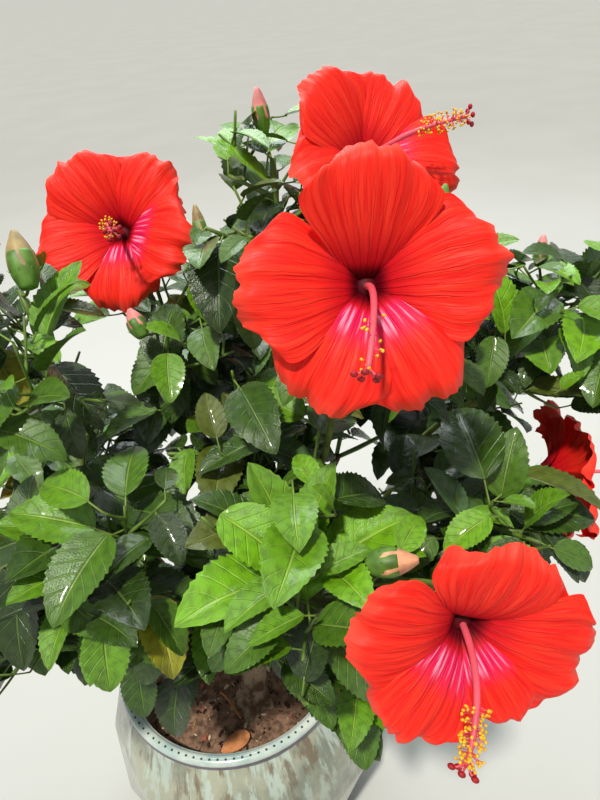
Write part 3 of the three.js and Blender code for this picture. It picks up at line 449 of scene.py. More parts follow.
def blade_points(leaf):
    t, s = np.repeat(BLADE_STEPS, len(BLADE_SIDES)), np.tile(BLADE_SIDES, len(BLADE_STEPS))
    across = s * 0.5 * leaf["width"] * np.minimum(1, half_width(t))
    lift = np.abs(across) * LEAF_FOLD * 2 - LEAF_ARCH * leaf["length"] * t * t
    points = leaf["base"] + leaf["way"] * (leaf["length"] * t)[:, None]
    return points + leaf["side"] * across[:, None] + leaf["normal"] * lift[:, None]


def leaf_free(name, leaf, points):
    petiole = np.array([mix(leaf["root"], leaf["base"], t) for t in PETIOLE_STEPS])
    return free(name, points, LEAF_THICKNESS / 2) and free(name, petiole, PETIOLE_RADIUS)


def touches(points, taken, twigs, apart):
    """Whether a leaf comes too near to another, or to a twig anywhere but at its base."""
    if taken:
        known = np.concatenate(taken)
        known = known[((known > points.min(0) - apart) & (known < points.max(0) + apart)).all(1)]
        gap = points[:, None, :] - known
        if ((gap * gap).sum(2) < apart * apart).any():
            return True
    return (nearest(points[len(BLADE_SIDES) :], *twigs)[1] < TWIG_APART).any()


def leaf_from(root, base, way, width, length, roll):
    upward = unit((way[0], way[1] - 0.3, 0.1)) if abs(way[2]) > 0.97 else vec(0, 0, 1)
    level = unit(cross(way, upward))
    side = around(level, cross(level, way), roll)
    return dict(root=root, base=base, way=way, side=side, normal=cross(side, way), width=width, length=length)


def nearest_point(lines, place, shares):
    points = [along_line(line, t) for line in lines for t in shares]
    return min(points, key=lambda point: size(point - place))


def leaf_at(line, along, turn, draws, leaf_length):
    """The leaf that one place of a twig has, for each share of its size that is tried."""
    size_draw, droop_draw, roll_draw = draws
    young = along > YOUNG_FROM
    axis = direction_of(line, along)
    stalk_way = unit(around(*sides_of(axis), turn) + axis * LEAF_LEAN)
    root = along_line(line, along)
    droop = spread(LEAF_DROOPS, droop_draw) - (YOUNG_LIFT if young else 0)
    way = unit((stalk_way[0], stalk_way[1], stalk_way[2] * LEAF_LEVEL - droop))
    roll = (roll_draw - 0.5) * LEAF_ROLL
    for part in LEAF_TRIES:
        length = leaf_length * (YOUNG_SIZE if young else 1) * spread(LEAF_SIZES, size_draw) * part
        base = root + stalk_way * (length * PETIOLE_SHARE)
        yield dict(leaf_from(root, base, way, length * LEAF_BREADTH, length, roll), young=young, line=line)


def places_along(line, spacing):
    return max(2, math.floor(size(line["tip"] - line["foot"]) / spacing + 0.5))


def twig_at(name, foot, way, long, tries, radii, sag=0.0):
    """A list with the longest twig of those tried that is free, or an empty one."""
    for part in tries:
        tip = foot + way * (long * part)
        bend = mix(foot, tip, 0.5) - vec(0, 0, sag * long * part)
        twig = dict(foot=foot, bend=bend, tip=tip, radii=radii)
        points = np.array([along_line(twig, t) for t in TWIG_STEPS])
        if clear_of_gaps(points) and free(name, points, radii[0]):
            return [twig]
    return []


def leaves_along(name, lines, twigs, taken, draw, first, spacing, apart, sizes=None):
    """The leaves of the lines, kept off the twigs. Each place draws the same number of times, its leaf kept or not."""
    pieces = [piece for line in twigs for piece in pieces_of(line, TWIG_PIECES)]
    twigs = [np.array([piece[part] for piece in pieces]) for part in (0, 1)]
    leaves = []
    for line in lines:
        steps = places_along(line, spacing)
        offset = draw() * TURN_OFFSET
        for i in range(steps + 1):
            along = first + ((1 - first) * i) / steps
            draws = (draw(), draw(), draw())
            length = MASSES[name]["leaf"] * (spread(sizes, draw()) if sizes else 1)
            for leaf in leaf_at(line, along, offset + i * GOLDEN_ANGLE, draws, length):
                points = blade_points(leaf)
                clear = clear_of_gaps(points) and not touches(points, taken, twigs, apart)
                if clear and leaf_free(name, leaf, points):
                    leaves.append(leaf)
                    taken.append(points)
                    line["bears"] = True
                    break
    return leaves


def grow(name):
    """The twigs and leaves that the mass's solid has, and the points that they take up."""
    mass, stem = MASSES[name], stems[name]
    draw = seeded(mass["seed"])
    lines = [dict(stem, bears=True)]
    for i in range(mass["twigs"]):
        along = FIRST_TWIG + (TWIG_SPAN * (i + draw() / 2)) / mass["twigs"]
        turn = mass["seed"] + i * GOLDEN_ANGLE + draw() * TURN_STRAY
        way = unit((math.cos(turn), math.sin(turn), TWIG_RISE * draw()))
        long = mass["reach"] * spread(TWIG_LENGTHS, draw())
        lines += twig_at(name, along_line(stem, along), way, long, TWIG_TRIES, TWIG_RADII)
    leaves, taken = [], []
    for base, tip, width in PLACED.get(name, ()):
        base, tip = vec(base), vec(tip)
        root = nearest_point(lines, base, PLACED_ROOTS)
        leaf = leaf_from(root, base, unit(tip - base), width, size(tip - base), 0)
        points = blade_points(leaf)
        if leaf_free(name, leaf, points):
            leaves.append(leaf)
            taken.append(points)
    leaves += leaves_along(name, lines, lines, taken, draw, FIRST_LEAF, LEAF_SPACING, LEAF_APART)
    return [line for line in lines if line.get("bears")], leaves, taken


def grow_finer(name, lines, taken):
    """The rule carried on: twigs on the twigs, and smaller leaves on them, within the same space."""
    mass = MASSES[name]
    draw = seeded(mass["seed"] + FINER_SEED)
    finer, parents = [], lines
    for share in FINER_GENERATIONS:
        born = []
        for parent in parents:
            count = places_along(parent, FINER_TWIG_SPACING)
            offset = draw() * TURN_OFFSET
            for i in range(count):
                along = FINER_TWIG_SPAN[0] + FINER_TWIG_SPAN[1] * (i + 0.5 * draw()) / count
                long = mass["reach"] * spread(FINER_TWIG_LENGTHS, draw()) * share
                lift = spread(FINER_TWIG_RISES, draw())
                axis = direction_of(parent, along)
                out = around(*sides_of(axis), offset + i * GOLDEN_ANGLE)
                way = unit(out + axis * FINER_TWIG_LEAN + vec(0, 0, lift))
                foot = along_line(parent, along)
                born += twig_at(name, foot, way, long, FINER_TWIG_TRIES, FINER_RADII, FINER_TWIG_SAG)
        finer += born
        parents = born
    leaves = leaves_along(
        name, finer + lines, lines, taken, draw, FINER_FIRST_LEAF, FINER_LEAF_SPACING, FINER_APART, FINER_LEAF_SIZES
    )
    return finer, leaves


# Gathering the corners, faces and pattern places of one piece.
def put(name, data):
    """A new object in the scene."""
    made = bpy.data.objects.new(name, data)
    bpy.context.scene.collection.objects.link(made)
    return made


class Pile:
    def __init__(self):
        self.points, self.faces, self.looks, self.places = [], [], [], []
        self.count = 0

    def add(self, shape, look):
        """Adds a shape, which is its corners, faces and pattern places, in the material with the look's number."""
        points, faces, places = shape
        self.points.append(np.asarray(points, float))
        self.places.append(np.asarray(places, float))
        self.faces += [[corner + self.count for corner in face] for face in faces]
        self.looks += [look] * len(faces)
        self.count += len(points)

    def make(self, name, materials, smooth=True):
        mesh = bpy.data.meshes.new(name)
        mesh.from_pydata((np.concatenate(self.points) * MM).tolist(), [], self.faces)
        for material in materials:
            mesh.materials.append(material)
        looks = np.array(self.looks, np.int32)
        mesh.polygons.foreach_set("material_index", looks)
        mesh.polygons.foreach_set("use_smooth", np.full(len(self.faces), smooth))
        places = np.concatenate(self.places)[[corner for face in self.faces for corner in face]]
        blade = mesh.uv_layers.new(name="blade")
        blade.data.foreach_set("uv", places.ravel())
        # The bake's map gives each material a tile of its own.
        tiles, inset = math.ceil(math.sqrt(len(materials))), 0.02
        look = np.repeat(looks, [len(face) for face in self.faces])
        tile = np.stack([look % tiles, look // tiles], 1)
        bake = mesh.uv_layers.new(name="OFBake")
        bake.data.foreach_set("uv", ((tile + inset + (1 - 2 * inset) * np.clip(places, 0, 1)) / tiles).ravel())
        blade.active_render = True
        mesh.update()
        piece = put(name, mesh)
        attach(piece, "root")
        return piece


def strips(rows, columns, closed, first=0):
    """The faces between rows of corners. In closed ones the last column joins the first."""
    faces = []
    for a in range(first, first + (rows - 1) * columns, columns):
        for j in range(columns if closed else columns - 1):
            k = (j + 1) % columns
            faces.append([a + j, a + k, a + columns + k, a + columns + j])
    return faces


def fan(centre, first, sides, back=False):
    """The faces between a centre and the ring that starts with the first corner."""
    pairs = [(first + j, first + (j + 1) % sides) for j in range(sides)]
    return [[centre, k, j] if back else [centre, j, k] for j, k in pairs]


def turns_of(count):
    return np.arange(count) * 2 * math.pi / count


def ring_of(side, up, count):
    turns = turns_of(count)[:, None]
    return np.cos(turns) * side + np.sin(turns) * up


def ring_places(rings, sides):
    return np.array([(j / sides, i / (rings - 1)) for i in range(rings) for j in range(sides)])


def tube(points, radii, sides):
    """A closed tube of rings along the points. A ring has one radius, or one for each side."""
    points = np.asarray(points, float)
    count = len(points)
    ways = np.gradient(points, axis=0)
    side, _ = sides_of(unit(ways[0]))
    corners = []
    for point, way, radius in zip(points, ways, radii):
        way = unit(way)
        side = unit(side - way * float(side @ way))
        corners.append(point + ring_of(side, cross(way, side), sides) * np.reshape(radius, (-1, 1)))
    ends_of_tube = [list(range(sides))[::-1], [(count - 1) * sides + j for j in range(sides)]]
    return np.concatenate(corners), strips(count, sides, True) + ends_of_tube, ring_places(count, sides)


def line_tube(line, radii, sides):
    """A tube along a line, the radii at even steps. Where the line starts from a knuckle, its foot is drawn into it."""
    points = [along_line(line, t) for t in np.linspace(0, 1, len(radii))]
    if line.get("start"):
        points[0] = mix(points[0], ends[line["start"]][0], 0.6)
    return tube(points, radii, sides)


def blob(middle, radii, way, rings=4, sides=6):
    """A closed egg shape round the middle, its long side along the way."""
    way = unit(way)
    side, up = sides_of(way)
    ring = ring_of(side * radii[1], up * radii[-1], sides)
    corners = [[middle - way * radii[0]]]
    for i in range(1, rings):
        angle = math.pi * i / rings
        corners.append(middle - way * (radii[0] * math.cos(angle)) + ring * math.sin(angle))
    corners = np.concatenate([*corners, [middle + way * radii[0]]])
    places = [(0.5, 0), *((j / sides, i / rings) for i in range(1, rings) for j in range(sides)), (0.5, 1)]
    last = len(corners) - 1
    caps = fan(0, 1, sides, back=True) + fan(last, last - sides, sides)
    return corners, strips(rings - 1, sides, True, 1) + caps, places


# Materials. Patterns read the "blade" map, whose y runs from foot to tip and x from edge to edge.
def linear(colour):
    """A hexadecimal colour as seen on a screen, made linear. One that is linear already stays as it is."""
    if not isinstance(colour, int):
        return colour
    parts = [(colour >> shift & 255) / 255 for shift in (16, 8, 0)]
    return tuple(c / 12.92 if c <= 0.04045 else ((c + 0.055) / 1.055) ** 2.4 for c in parts) + (1.0,)


def toned(colour, share):
    return tuple(min(1, c * share) for c in colour[:3]) + (1.0,)


def sum_of(operation, swapped=False):
    return lambda a, b=0.0: a.nodes.math(operation, b, a) if swapped else a.nodes.math(operation, a, b)


class Value:
    """What a node gives. Sums written with it make the nodes for them."""

    def __init__(self, nodes, socket):
        self.nodes, self.socket = nodes, socket

    __add__ = sum_of("ADD")
    __sub__ = sum_of("SUBTRACT")
    __rsub__ = sum_of("SUBTRACT", swapped=True)
    __mul__ = sum_of("MULTIPLY")
    __truediv__ = sum_of("DIVIDE")
    __abs__ = sum_of("ABSOLUTE")


COAT_ROUGHNESS = 0.1


class Nodes:
    """Short words for building a material's nodes."""

    def __init__(self, name, roughness, specular=0.5, coat=0.0):
        self.material = bpy.data.materials.new(name)
        self.material.use_nodes = True
        self.tree = self.material.node_tree
        self.shader = self.tree.nodes["Principled BSDF"]
        self.fill(self.shader, {"Roughness": roughness, "Specular IOR Level": specular})
        self.fill(self.shader, {"Coat Weight": coat, "Coat Roughness": COAT_ROUGHNESS})

    def fill(self, node, inputs):
        for socket, source in inputs.items():
            if isinstance(source, Value):
                self.tree.links.new(source.socket, node.inputs[socket])
            else:
                node.inputs[socket].default_value = source

    def node(self, kind, inputs, output=0, **settings):
        """What a new node gives, its inputs and settings filled in."""
        made = self.tree.nodes.new("ShaderNode" + kind)
        for key, value in settings.items():
            setattr(made, key, value)
        self.fill(made, inputs)
        return Value(self, made.outputs[output])

    def math(self, operation, a, b=0.0):
        return self.node("Math", {0: a, 1: b, 2: 0.0}, operation=operation)

    def smooth(self, value, low, high):
        inputs = {"Value": value, "From Min": low, "From Max": high}
        return self.node("MapRange", inputs, interpolation_type="SMOOTHSTEP")

    def blend(self, share, a, b):
        return self.node("Mix", {0: share, 6: linear(a), 7: linear(b)}, 2, data_type="RGBA")

    def noise(self, vector, scale, detail=2.0, roughness=0.5):
        inputs = {"Vector": vector, "Scale": scale, "Detail": detail, "Roughness": roughness}
        return self.node("TexNoise", inputs, "Fac")

    def split(self, vector):
        parts = self.node("SeparateXYZ", {0: vector}).socket.node.outputs
        return [Value(self, part) for part in parts]

    def blade(self):
        return self.split(self.node("UVMap", {}, uv_map="blade"))[:2]

    def joined(self, x, y, z=0.0):
        return self.node("CombineXYZ", {0: x, 1: y, 2: z})

    def place(self):
        return self.node("TexCoord", {}, "Object")

    def paint(self, colour, height=None, depth=0.0):
        self.fill(self.shader, {"Base Color": colour})
        if height is not None:
            self.fill(self.shader, {"Normal": self.node("Bump", {"Distance": depth, "Height": height})})
        return self.material


VEIN_ROWS = 6.5
VEIN_LEAN = 0.24


def leaf_material(name, colour, vein, roughness):
    n = Nodes(name, roughness, coat=0.3)
    x, y = n.blade()
    side = abs(x * 2.0 - 1.0)
    row = (y - side * VEIN_LEAN) * VEIN_ROWS
    lateral = n.smooth(abs(n.math("FRACT", row) - 0.5) * 2.0, 0.84, 0.98)
    midrib = n.smooth(side, 0.075, 0.02)
    veins = n.math("MAXIMUM", lateral * (0.62 - side * 0.4), midrib)
    place = n.joined(x, y * 1.6)
    flesh = n.blend(n.smooth(n.noise(place, 5.0, 3.0), 0.3, 0.62), toned(linear(colour), 0.62), colour)
    height = veins * -1.0 + n.noise(place, 34.0) * 0.5
    return n.paint(n.blend(veins * 0.5, flesh, vein), height, 0.001)


def plain_material(name, colour, roughness=0.6, spread=0.25, scale=40.0, specular=0.5, coat=0.0, depth=0.0):
    """One colour, clouded by the spread."""
    n = Nodes(name, roughness, specular, coat)
    cloud = n.noise(n.place(), scale, 3.0)
    dark, light = (toned(linear(colour), 1 + side * spread) for side in (-1, 1))
    return n.paint(n.blend(n.smooth(cloud, 0.3, 0.7), dark, light), cloud if depth else None, depth)


def plain_materials(rows):
    return [plain_material(*row) for row in rows]


def petal_material(name, streaked):
    n = Nodes(name, 0.5, 0.18)
    x, y = n.blade()
    fan = x - 0.5
    wander = n.noise(n.joined(fan * 6.0, y * 3.0), 1.0)
    streak = n.noise(n.joined(fan * 20.0, y * 1.3), 1.0, 3.0, 0.6)
    coral = n.blend(n.smooth(streak, 0.36, 0.68), (0.95, 0.036, 0.016, 1), (0.84, 0.01, 0.007, 1))

    def lines(count, shift):
        off = abs(n.math("FRACT", fan * count + wander * shift) - 0.5)
        return n.smooth(off, 0.1, 0.01)

    coarse = lines(9.0, 0.7) * n.smooth(y, 0.95, 0.45)
    fine = lines(19.0, 1.4) * (n.smooth(y, 0.3, 0.5) * n.smooth(y, 0.99, 0.6))
    vein = n.math("MAXIMUM", coarse, fine * 0.7)
    lined = n.blend(vein * 0.22, coral, (0.5, 0.001, 0.004, 1))
    margin = n.blend(n.smooth(y, 0.84, 1.0) * 0.5, lined, (0.93, 0.09, 0.05, 1))
    foot = n.blend(n.smooth(y + streak * 0.2, 0.56, 0.2) * 0.85, margin, (0.52, 0.0015, 0.012, 1))
    if streaked:
        pale = n.smooth(y, 0.52, 0.26) * n.smooth(y, 0.1, 0.2)
        foot = n.blend(pale * 0.8, foot, (0.72, 0.006, 0.09, 1))
        ray = n.smooth(y, 0.42, 0.28) * n.smooth(y, 0.12, 0.22)
        foot = n.blend(ray * n.smooth(streak, 0.5, 0.64), foot, (0.86, 0.34, 0.5, 1))
    throat = n.blend(n.smooth(y, 0.15, 0.04), foot, (0.11, 0.0, 0.005, 1))
    return n.paint(throat, streak + vein * -0.3, 0.0012)


# The leaves' tones, from deep to lime and then the rarer ones: flesh, veins and roughness.
LEAF_TONES = {
    "leaf_deep": (0x2B4014, 0x60803A, 0.24),
    "leaf_dark": (0x3A5818, 0x749444, 0.25),
    "leaf_mid": (0x4E741C, 0x8CAA48, 0.28),
    "leaf_fresh": (0x66981A, 0xA2C44C, 0.34),
    "leaf_lime": (0x72AA10, 0xAAD048, 0.4),
    "leaf_olive": (0x5A681E, 0x909850, 0.40),
    "leaf_dull": (0x4C6E3A, 0x84A068, 0.55),
    "leaf_yellow": (0x9C9C20, 0xD0C868, 0.42),
}
leaf_looks = [leaf_material(name, *tone) for name, tone in LEAF_TONES.items()]
petiole_look, young_look = plain_materials([
    ("petiole", 0x6F8A34, 0.5, 0.3, 60.0),
    ("young_stem", 0x5E7A2C, 0.5, 0.3, 60.0),
])


# Leaves: a toothed blade that swells between its side veins, on a bent stalk.
def blade_template(rows, columns):
    """How many rows a blade has, the shares along and across it of its corners, and its faces."""
    t = [0.0, *np.repeat(np.arange(1, rows) / rows, columns), 1.0]
    s = [0.0, *np.tile(np.linspace(-1, 1, columns), rows - 1), 0.0]
    faces, last = strips(rows - 1, columns, False, 1), len(t) - 1
    for j in range(columns - 1):
        faces += [[0, 2 + j, 1 + j], [last - columns + j, last - columns + j + 1, last]]
    return rows, np.array(t), np.array(s), faces


FINE_BLADE = blade_template(26, 9)
PLAIN_BLADE = blade_template(14, 5)
# A dressed leaf is a little longer and broader than its solid's few corners show.
LEAF_LONGER = 1.07
LEAF_BROADER = 1.2
TOOTH_OUT = 0.05
TOOTH_ALONG = 0.011
FULL_TURN = 6.3


def leaf_shape(leaf, template, draw):
    rows, t, s, faces = template
    edge, side = np.abs(s) > 0.99, np.abs(s)
    row = np.round(t * rows).astype(int)
    tooth = np.where(row % 2 == 0, 1.0, -1.0) * np.clip((t - 0.16) * 5, 0, 1) * np.clip((1 - t) * 6, 0.3, 1)
    along = np.where(edge, t + TOOTH_ALONG * tooth, t)
    length = leaf["length"] * LEAF_LONGER
    width = 0.5 * leaf["width"] * LEAF_BROADER * np.minimum(1, half_width(np.clip(along, 0, 1)))
    across = s * width * np.where(edge, 1 + TOOTH_OUT * tooth, 1.0)
    phase = (t - side * VEIN_LEAN) * VEIN_ROWS
    swell = np.abs(np.sin(math.pi * phase)) ** 0.8 * np.minimum(1, side * 2.2) * (1 - 0.35 * side)
    wave_a, wave_b, droop = draw() * FULL_TURN, draw() * FULL_TURN, draw()
    ripple = np.sin(t * 9 + wave_a) * side**2 * 0.5 + np.sin(s * 2.4 + t * 5 + wave_b) * 0.35
    lift = np.abs(across) * LEAF_FOLD * 2 - LEAF_ARCH * length * t * t
    lift = lift + length * (0.022 * swell * np.sin(math.pi * t) ** 0.4 + 0.02 * ripple * np.sqrt(t))
    lift = lift - length * (0.03 + 0.07 * droop) * t**4
    sway = leaf["width"] * 0.1 * (draw() - 0.5) * np.sin(math.pi * t)
    points = leaf["base"] + leaf["way"] * (length * along)[:, None]
    points = points + leaf["side"] * (across + sway)[:, None] + leaf["normal"] * lift[:, None]
    return points, faces, np.stack([0.5 + 0.5 * s, t], 1)


def petiole_shape(leaf):
    root, base = leaf["root"], leaf["base"]
    bend = mix(root, base, 0.55) - vec(0, 0, 0.08 * size(base - root))
    end = base + leaf["way"] * min(4, 0.06 * leaf["length"])
    thick = 0.55 + 0.006 * leaf["length"]
    return line_tube(dict(foot=root, bend=bend, tip=end), thick * vec(1.25, 1, 0.95, 1, 1.1), 4)


# How likely each tone is, summed up: on a young shoot, in the rest where the sun reaches, and where it doesn't.
# Where the sun doesn't reach, darker tones are dealt more often: painted shade, beside the leaves' own differences of
# tone.
LIME = (0.0, 0.02, 0.12, 0.5, 1.0, 1.0, 1.0, 1.0)
SUNNY = (0.2, 0.58, 0.88, 0.94, 0.955, 0.985, 0.997, 1.0)
SHADED = (0.48, 0.82, 0.95, 0.975, 0.98, 0.99, 1.0, 1.0)
# The young shoots: the middle and the reach of each.
SHOOTS = [
    ((120, -224, 772), 44), ((117, -182, 778), 42), ((155, -223, 773), 40), ((211, -212, 753), 45),
    ((78, -236, 772), 36), ((23, -54, 854), 45), ((-52, -75, 911), 45), ((140, 32, 975), 55),
    ((103, 34, 978), 40), ((336, -59, 847), 50), ((280, -176, 769), 45), ((-34, -218, 693), 34),
    ((124, -253, 747), 22), ((355, -73, 828), 40),
]
CROWN_MIDDLE = (90, 0, 560)
SUNLIT = 0.45
DEALT_SEED = 900
# Leaves in front of this y and longer than this get the fine blade.
FINE_FRONT = 20
FINE_LENGTH = 38


def sunshine(point, mass):
    """0 deep in the crown, 1 at its outside and top. The leaves' tones are darkened by it as painted shade."""
    away = point - mass["middle"]
    outward = unit(mass["middle"] - vec(CROWN_MIDDLE))
    return float(np.clip(0.5 + (away @ outward + 0.5 * away[2]) / mass["reach"], 0, 1))


def tone_of(leaf, sun, share):
    """The number of the leaf's tone. The share deals it by how likely each tone is."""
    middle = leaf["base"] + leaf["way"] * (leaf["length"] / 2)
    shoot = any(size(middle - vec(centre)) < reach for centre, reach in SHOOTS)
    # Out of the sun the chances run to darker tones: painted shade.
    chances = LIME if shoot else SUNNY if sun > SUNLIT else SHADED
    tone = int(np.searchsorted(chances, share))
    # A young leaf is paler of its own, but is made one tone lighter only in the sun: partly its own colour, partly
    # painted light.
    return tone + 1 if leaf.get("young") and sun > SUNLIT and tone < 3 else tone


PILE_OF = {name: "leaves_" + mass["side"] for name, mass in MASSES.items()}
leaf_piles = {name: Pile() for name in ("leaves_front", "leaves_left", "leaves_right", "leaves_back")}
twig_pile = Pile()
twig_shares = np.linspace(0, 1, 7)
for name, mass in MASSES.items():
    lines, leaves, taken = grow(name)
    finer, more = grow_finer(name, lines, taken)
    pile = leaf_piles[PILE_OF[name]]
    draw = seeded(mass["seed"] + DEALT_SEED)
    spray_draws = {}
    for leaf in leaves + more:
        spray = id(leaf.get("line"))
        if spray not in spray_draws:
            spray_draws[spray] = draw()
        share = min(0.999, max(0.0, spray_draws[spray] + 0.24 * (draw() - 0.5)))
        tone = tone_of(leaf, sunshine(leaf["base"], mass), share)
        fine = leaf["base"][1] < FINE_FRONT and leaf["length"] > FINE_LENGTH
        pile.add(leaf_shape(leaf, FINE_BLADE if fine else PLAIN_BLADE, draw), tone)
        pile.add(petiole_shape(leaf), len(leaf_looks))
    for line in lines + [line for line in finer if line.get("bears")]:
        radii = [radius_of(line, t) * (1 + 0.12 * math.sin(9 * t)) for t in twig_shares]
        twig_pile.add(line_tube(line, radii, 6), 0)

materials = leaf_looks + [petiole_look]
for name, pile in leaf_piles.items():
    piece = pile.make(name, materials)
    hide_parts(*[mass for mass in MASSES if PILE_OF[mass] == name])
twigs = twig_pile.make("twigs", [young_look])


# Trunk and boughs, with the bark's wrinkles, rings and small warts as relief.
def bark_radius(angles, along, radius, seed, rough):
    """Radii of one ring: along is in millimetres from the foot."""
    a, b, c = seed * 1.7, seed * 2.9, seed * 0.6
    wrinkle = 0.5 * np.sin(5 * angles + 0.11 * along + a) + 0.35 * np.sin(9 * angles - 0.07 * along + b)
    wrinkle = wrinkle + 0.3 * np.sin(3 * angles + 0.31 * along + c) * math.sin(0.23 * along + b)
    ring = max(0.0, math.cos(2 * math.pi * along / 27 + c)) ** 14
    wart = np.clip(np.sin(4 * angles + 0.9 * along + a) * math.sin(0.7 * along + c) - 0.82, 0, 1) * 2.4
    return radius * (1 + rough * wrinkle + 0.09 * ring) + wart * min(1.0, radius / 7)


SWELL_LENGTH = 9
RING_EVERY = 3


def limb_shape(line, sides, seed, rough, swell):
    """A limb that swells at its foot, and by so much at its tip."""
    long = size(line["tip"] - line["foot"])
    count = max(10, int(long / RING_EVERY))
    radii = []
    for t in np.arange(count + 1) / count:
        at_foot, at_tip = math.exp(-t * long / SWELL_LENGTH), math.exp(-(((1 - t) * long / SWELL_LENGTH) ** 2))
        radius = radius_of(line, t) * (1 + 0.35 * at_foot) + swell * at_tip
        radii.append(bark_radius(turns_of(sides), t * long, radius, seed, rough))
    return line_tube(line, radii, sides)


# The boughs that leave the trunk are woody and the rest green. Each gives its sides, roughness, swelling, the share of
# its knuckle and its material.
WOODY = (18, 0.07, 1.6, 1.45, 0)
GREEN = (12, 0.03, 1.0, 1.35, 1)
bark_pile = Pile()
for index, line in enumerate(limbs.values()):
    foot = mix(line["foot"], ends[line["start"]][0], 0.7)
    sides, rough, swell, knob, look = WOODY if line["start"] == "trunk" else GREEN
    bark_pile.add(limb_shape(dict(line, foot=foot, start=None), sides, index + 1, rough, swell), look)
    knuckle = line["radii"][1] * knob
    bark_pile.add(blob(line["tip"], (knuckle, knuckle * 0.95), direction_of(line, 1), 8, 12), look)

trunk_foot, trunk_top, trunk_sides = vec(TRUNK_FOOT), vec(TRUNK_TOP), 36
trunk_way = trunk_top - trunk_foot
trunk_line = dict(
    foot=trunk_foot - trunk_way * 0.12,
    bend=mix(trunk_foot, trunk_top, 0.4) + vec(-4, -3, 0),
    tip=trunk_top + trunk_way * 0.06,
)
angles, radii = turns_of(trunk_sides), []
for t in np.linspace(0, 1, 46):
    flare = TRUNK_RADIUS + (FLARE_RADIUS - TRUNK_RADIUS) * (1 - t) ** 5
    roots = 1 + 0.2 * (1 - t) ** 4 * np.sin(5 * angles + 0.6)
    crown = 7.5 * math.exp(-(((t - 0.93) / 0.13) ** 2))
    radii.append(bark_radius(angles, t * 90, flare + crown, 3.3, 0.06) * roots)
bark_pile.add(line_tube(trunk_line, radii, trunk_sides), 0)


def bark_material():
    n = Nodes("bark", 0.82, 0.25)
    broad, fine = n.noise(n.place(), 55.0, 4.0, 0.6), n.noise(n.place(), 420.0, 3.0, 0.6)
    grey = n.blend(n.smooth(broad, 0.38, 0.62), 0x5E4532, 0xA28A70)
    return n.paint(n.blend(n.smooth(fine, 0.56, 0.7), grey, 0x3A281C), broad + fine, 0.0009)


green_bark = plain_material("green_bark", 0x7A8A3C, 0.55, 0.35, 60.0, depth=0.0004)
bark = bark_pile.make("bark", [bark_material(), green_bark])
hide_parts("trunk", *BOUGHS)


# Blooms. A look gives each petal's turn in degrees, how far its margin leans forward, and its length and breadth as
# shares of the usual ones; then the petal and side that are folded back, the petals with a pink and white foot, and
# how many anthers there are.
PETAL_ROWS, PETAL_COLUMNS = 40, 37
EVEN = (1,) * BLOOM_PETALS
EVEN_LEANS = (0.1, -0.08, 0.04, -0.1, 0.06)
EVEN_LOOK = dict(leans=EVEN_LEANS, lengths=EVEN, breadths=EVEN, fold=(None, 0), streaked=(), anthers=60)
BLOOM_LOOKS = {
    "bloom_front": dict(
        turns=(94, 177, 245, 301, 3), leans=(0.24, 0.02, -0.1, -0.12, 0.03), lengths=(0.9, 0.97, 1, 1, 0.98),
        breadths=(1.04, 1, 1, 1, 1), fold=(2, 1), streaked=(2, 3), anthers=14,
    ),
    "bloom_low_right": dict(
        turns=(114, 203, 246, 316, 16), leans=(-0.04, -0.06, 0.02, 0.1, -0.02), lengths=(0.92, 1, 0.84, 0.96, 0.98),
        breadths=(1.16, 1.25, 0.9, 1.0, 1.05), fold=(2, 1), streaked=(2, 3), anthers=120,
    ),
    "bloom_top": dict(fold=(3, 1), streaked=(2, 3), anthers=100),
    "bloom_left": dict(streaked=(2, 3), anthers=40),
    "bloom_right": dict(anthers=90),
}


def eased(value, low, high):
    share = np.clip((value - low) / (high - low), 0, 1)
    return share * share * (3 - 2 * share)


def petal_shape(bloom, look, petal, draw):
    u = np.repeat(np.linspace(0.01, 1, PETAL_ROWS), PETAL_COLUMNS)
    v = np.tile(np.linspace(-1, 1, PETAL_COLUMNS), PETAL_ROWS)
    along = around(bloom["side"], bloom["up"], math.radians(look["turns"][petal]))
    across = cross(bloom["out"], along)
    length = bloom["petal"] * look["lengths"][petal]
    a, b, c, d = (draw() * FULL_TURN for _ in range(4))
    lively = 0.75 + 0.5 * draw()
    scallop = u**8 * (0.022 * np.sin(v * 6.5 + a) + 0.014 * np.sin(v * 15 + b) + 0.01 * np.sin(v * 33 + c))
    half = length * (0.05 + 0.09 * np.exp(-((u / 0.3) ** 2)) + 1.06 * u**1.1 * (1 - 0.62 * u**1.8))
    half = half * look["breadths"][petal]
    rounding = 0.3 * np.abs(v) ** 2.4 * u * u
    reach = PETAL_FOOT + (length - PETAL_FOOT) * (u - rounding) + length * scallop * lively
    twist = v * length * 0.035 * (0.2 + u)
    height = petal_height(bloom, u) + twist - 0.1 * length * v * v * u
    height = height + length * look["leans"][petal] * u**1.4
    height = height - length * 0.16 * eased(u, 0.78, 1.12) ** 2
    pleat = (0.009 * np.sin(v * 17 + b + 0.8 * u) + 0.003 * np.sin(v * 31 + c + 2 * u)) * u * (1.25 - u) * 2
    ruffle = u**4 * (0.05 * np.sin(v * 5.5 + d) + 0.03 * np.sin(v * 11.5 + a) + 0.014 * np.sin(v * 25 + b))
    rib = -0.02 * np.exp(-((v / 0.07) ** 2)) * u * (1 - u)
    height = height + length * (pleat + ruffle * lively + rib)
    folded, side = look["fold"]
    if folded == petal:
        height = height - length * 0.42 * eased(v * side, 0.42, 1.1) * u
    points = bloom["throat"] + along * reach[:, None] + across * (half * v)[:, None] + bloom["out"] * height[:, None]
    return points, strips(PETAL_ROWS, PETAL_COLUMNS, False), np.stack([0.5 + 0.5 * v, u], 1)


def rays(side, up, count, start=0.0):
    """Directions all round."""
    return [around(side, up, turn + start) for turn in turns_of(count)]


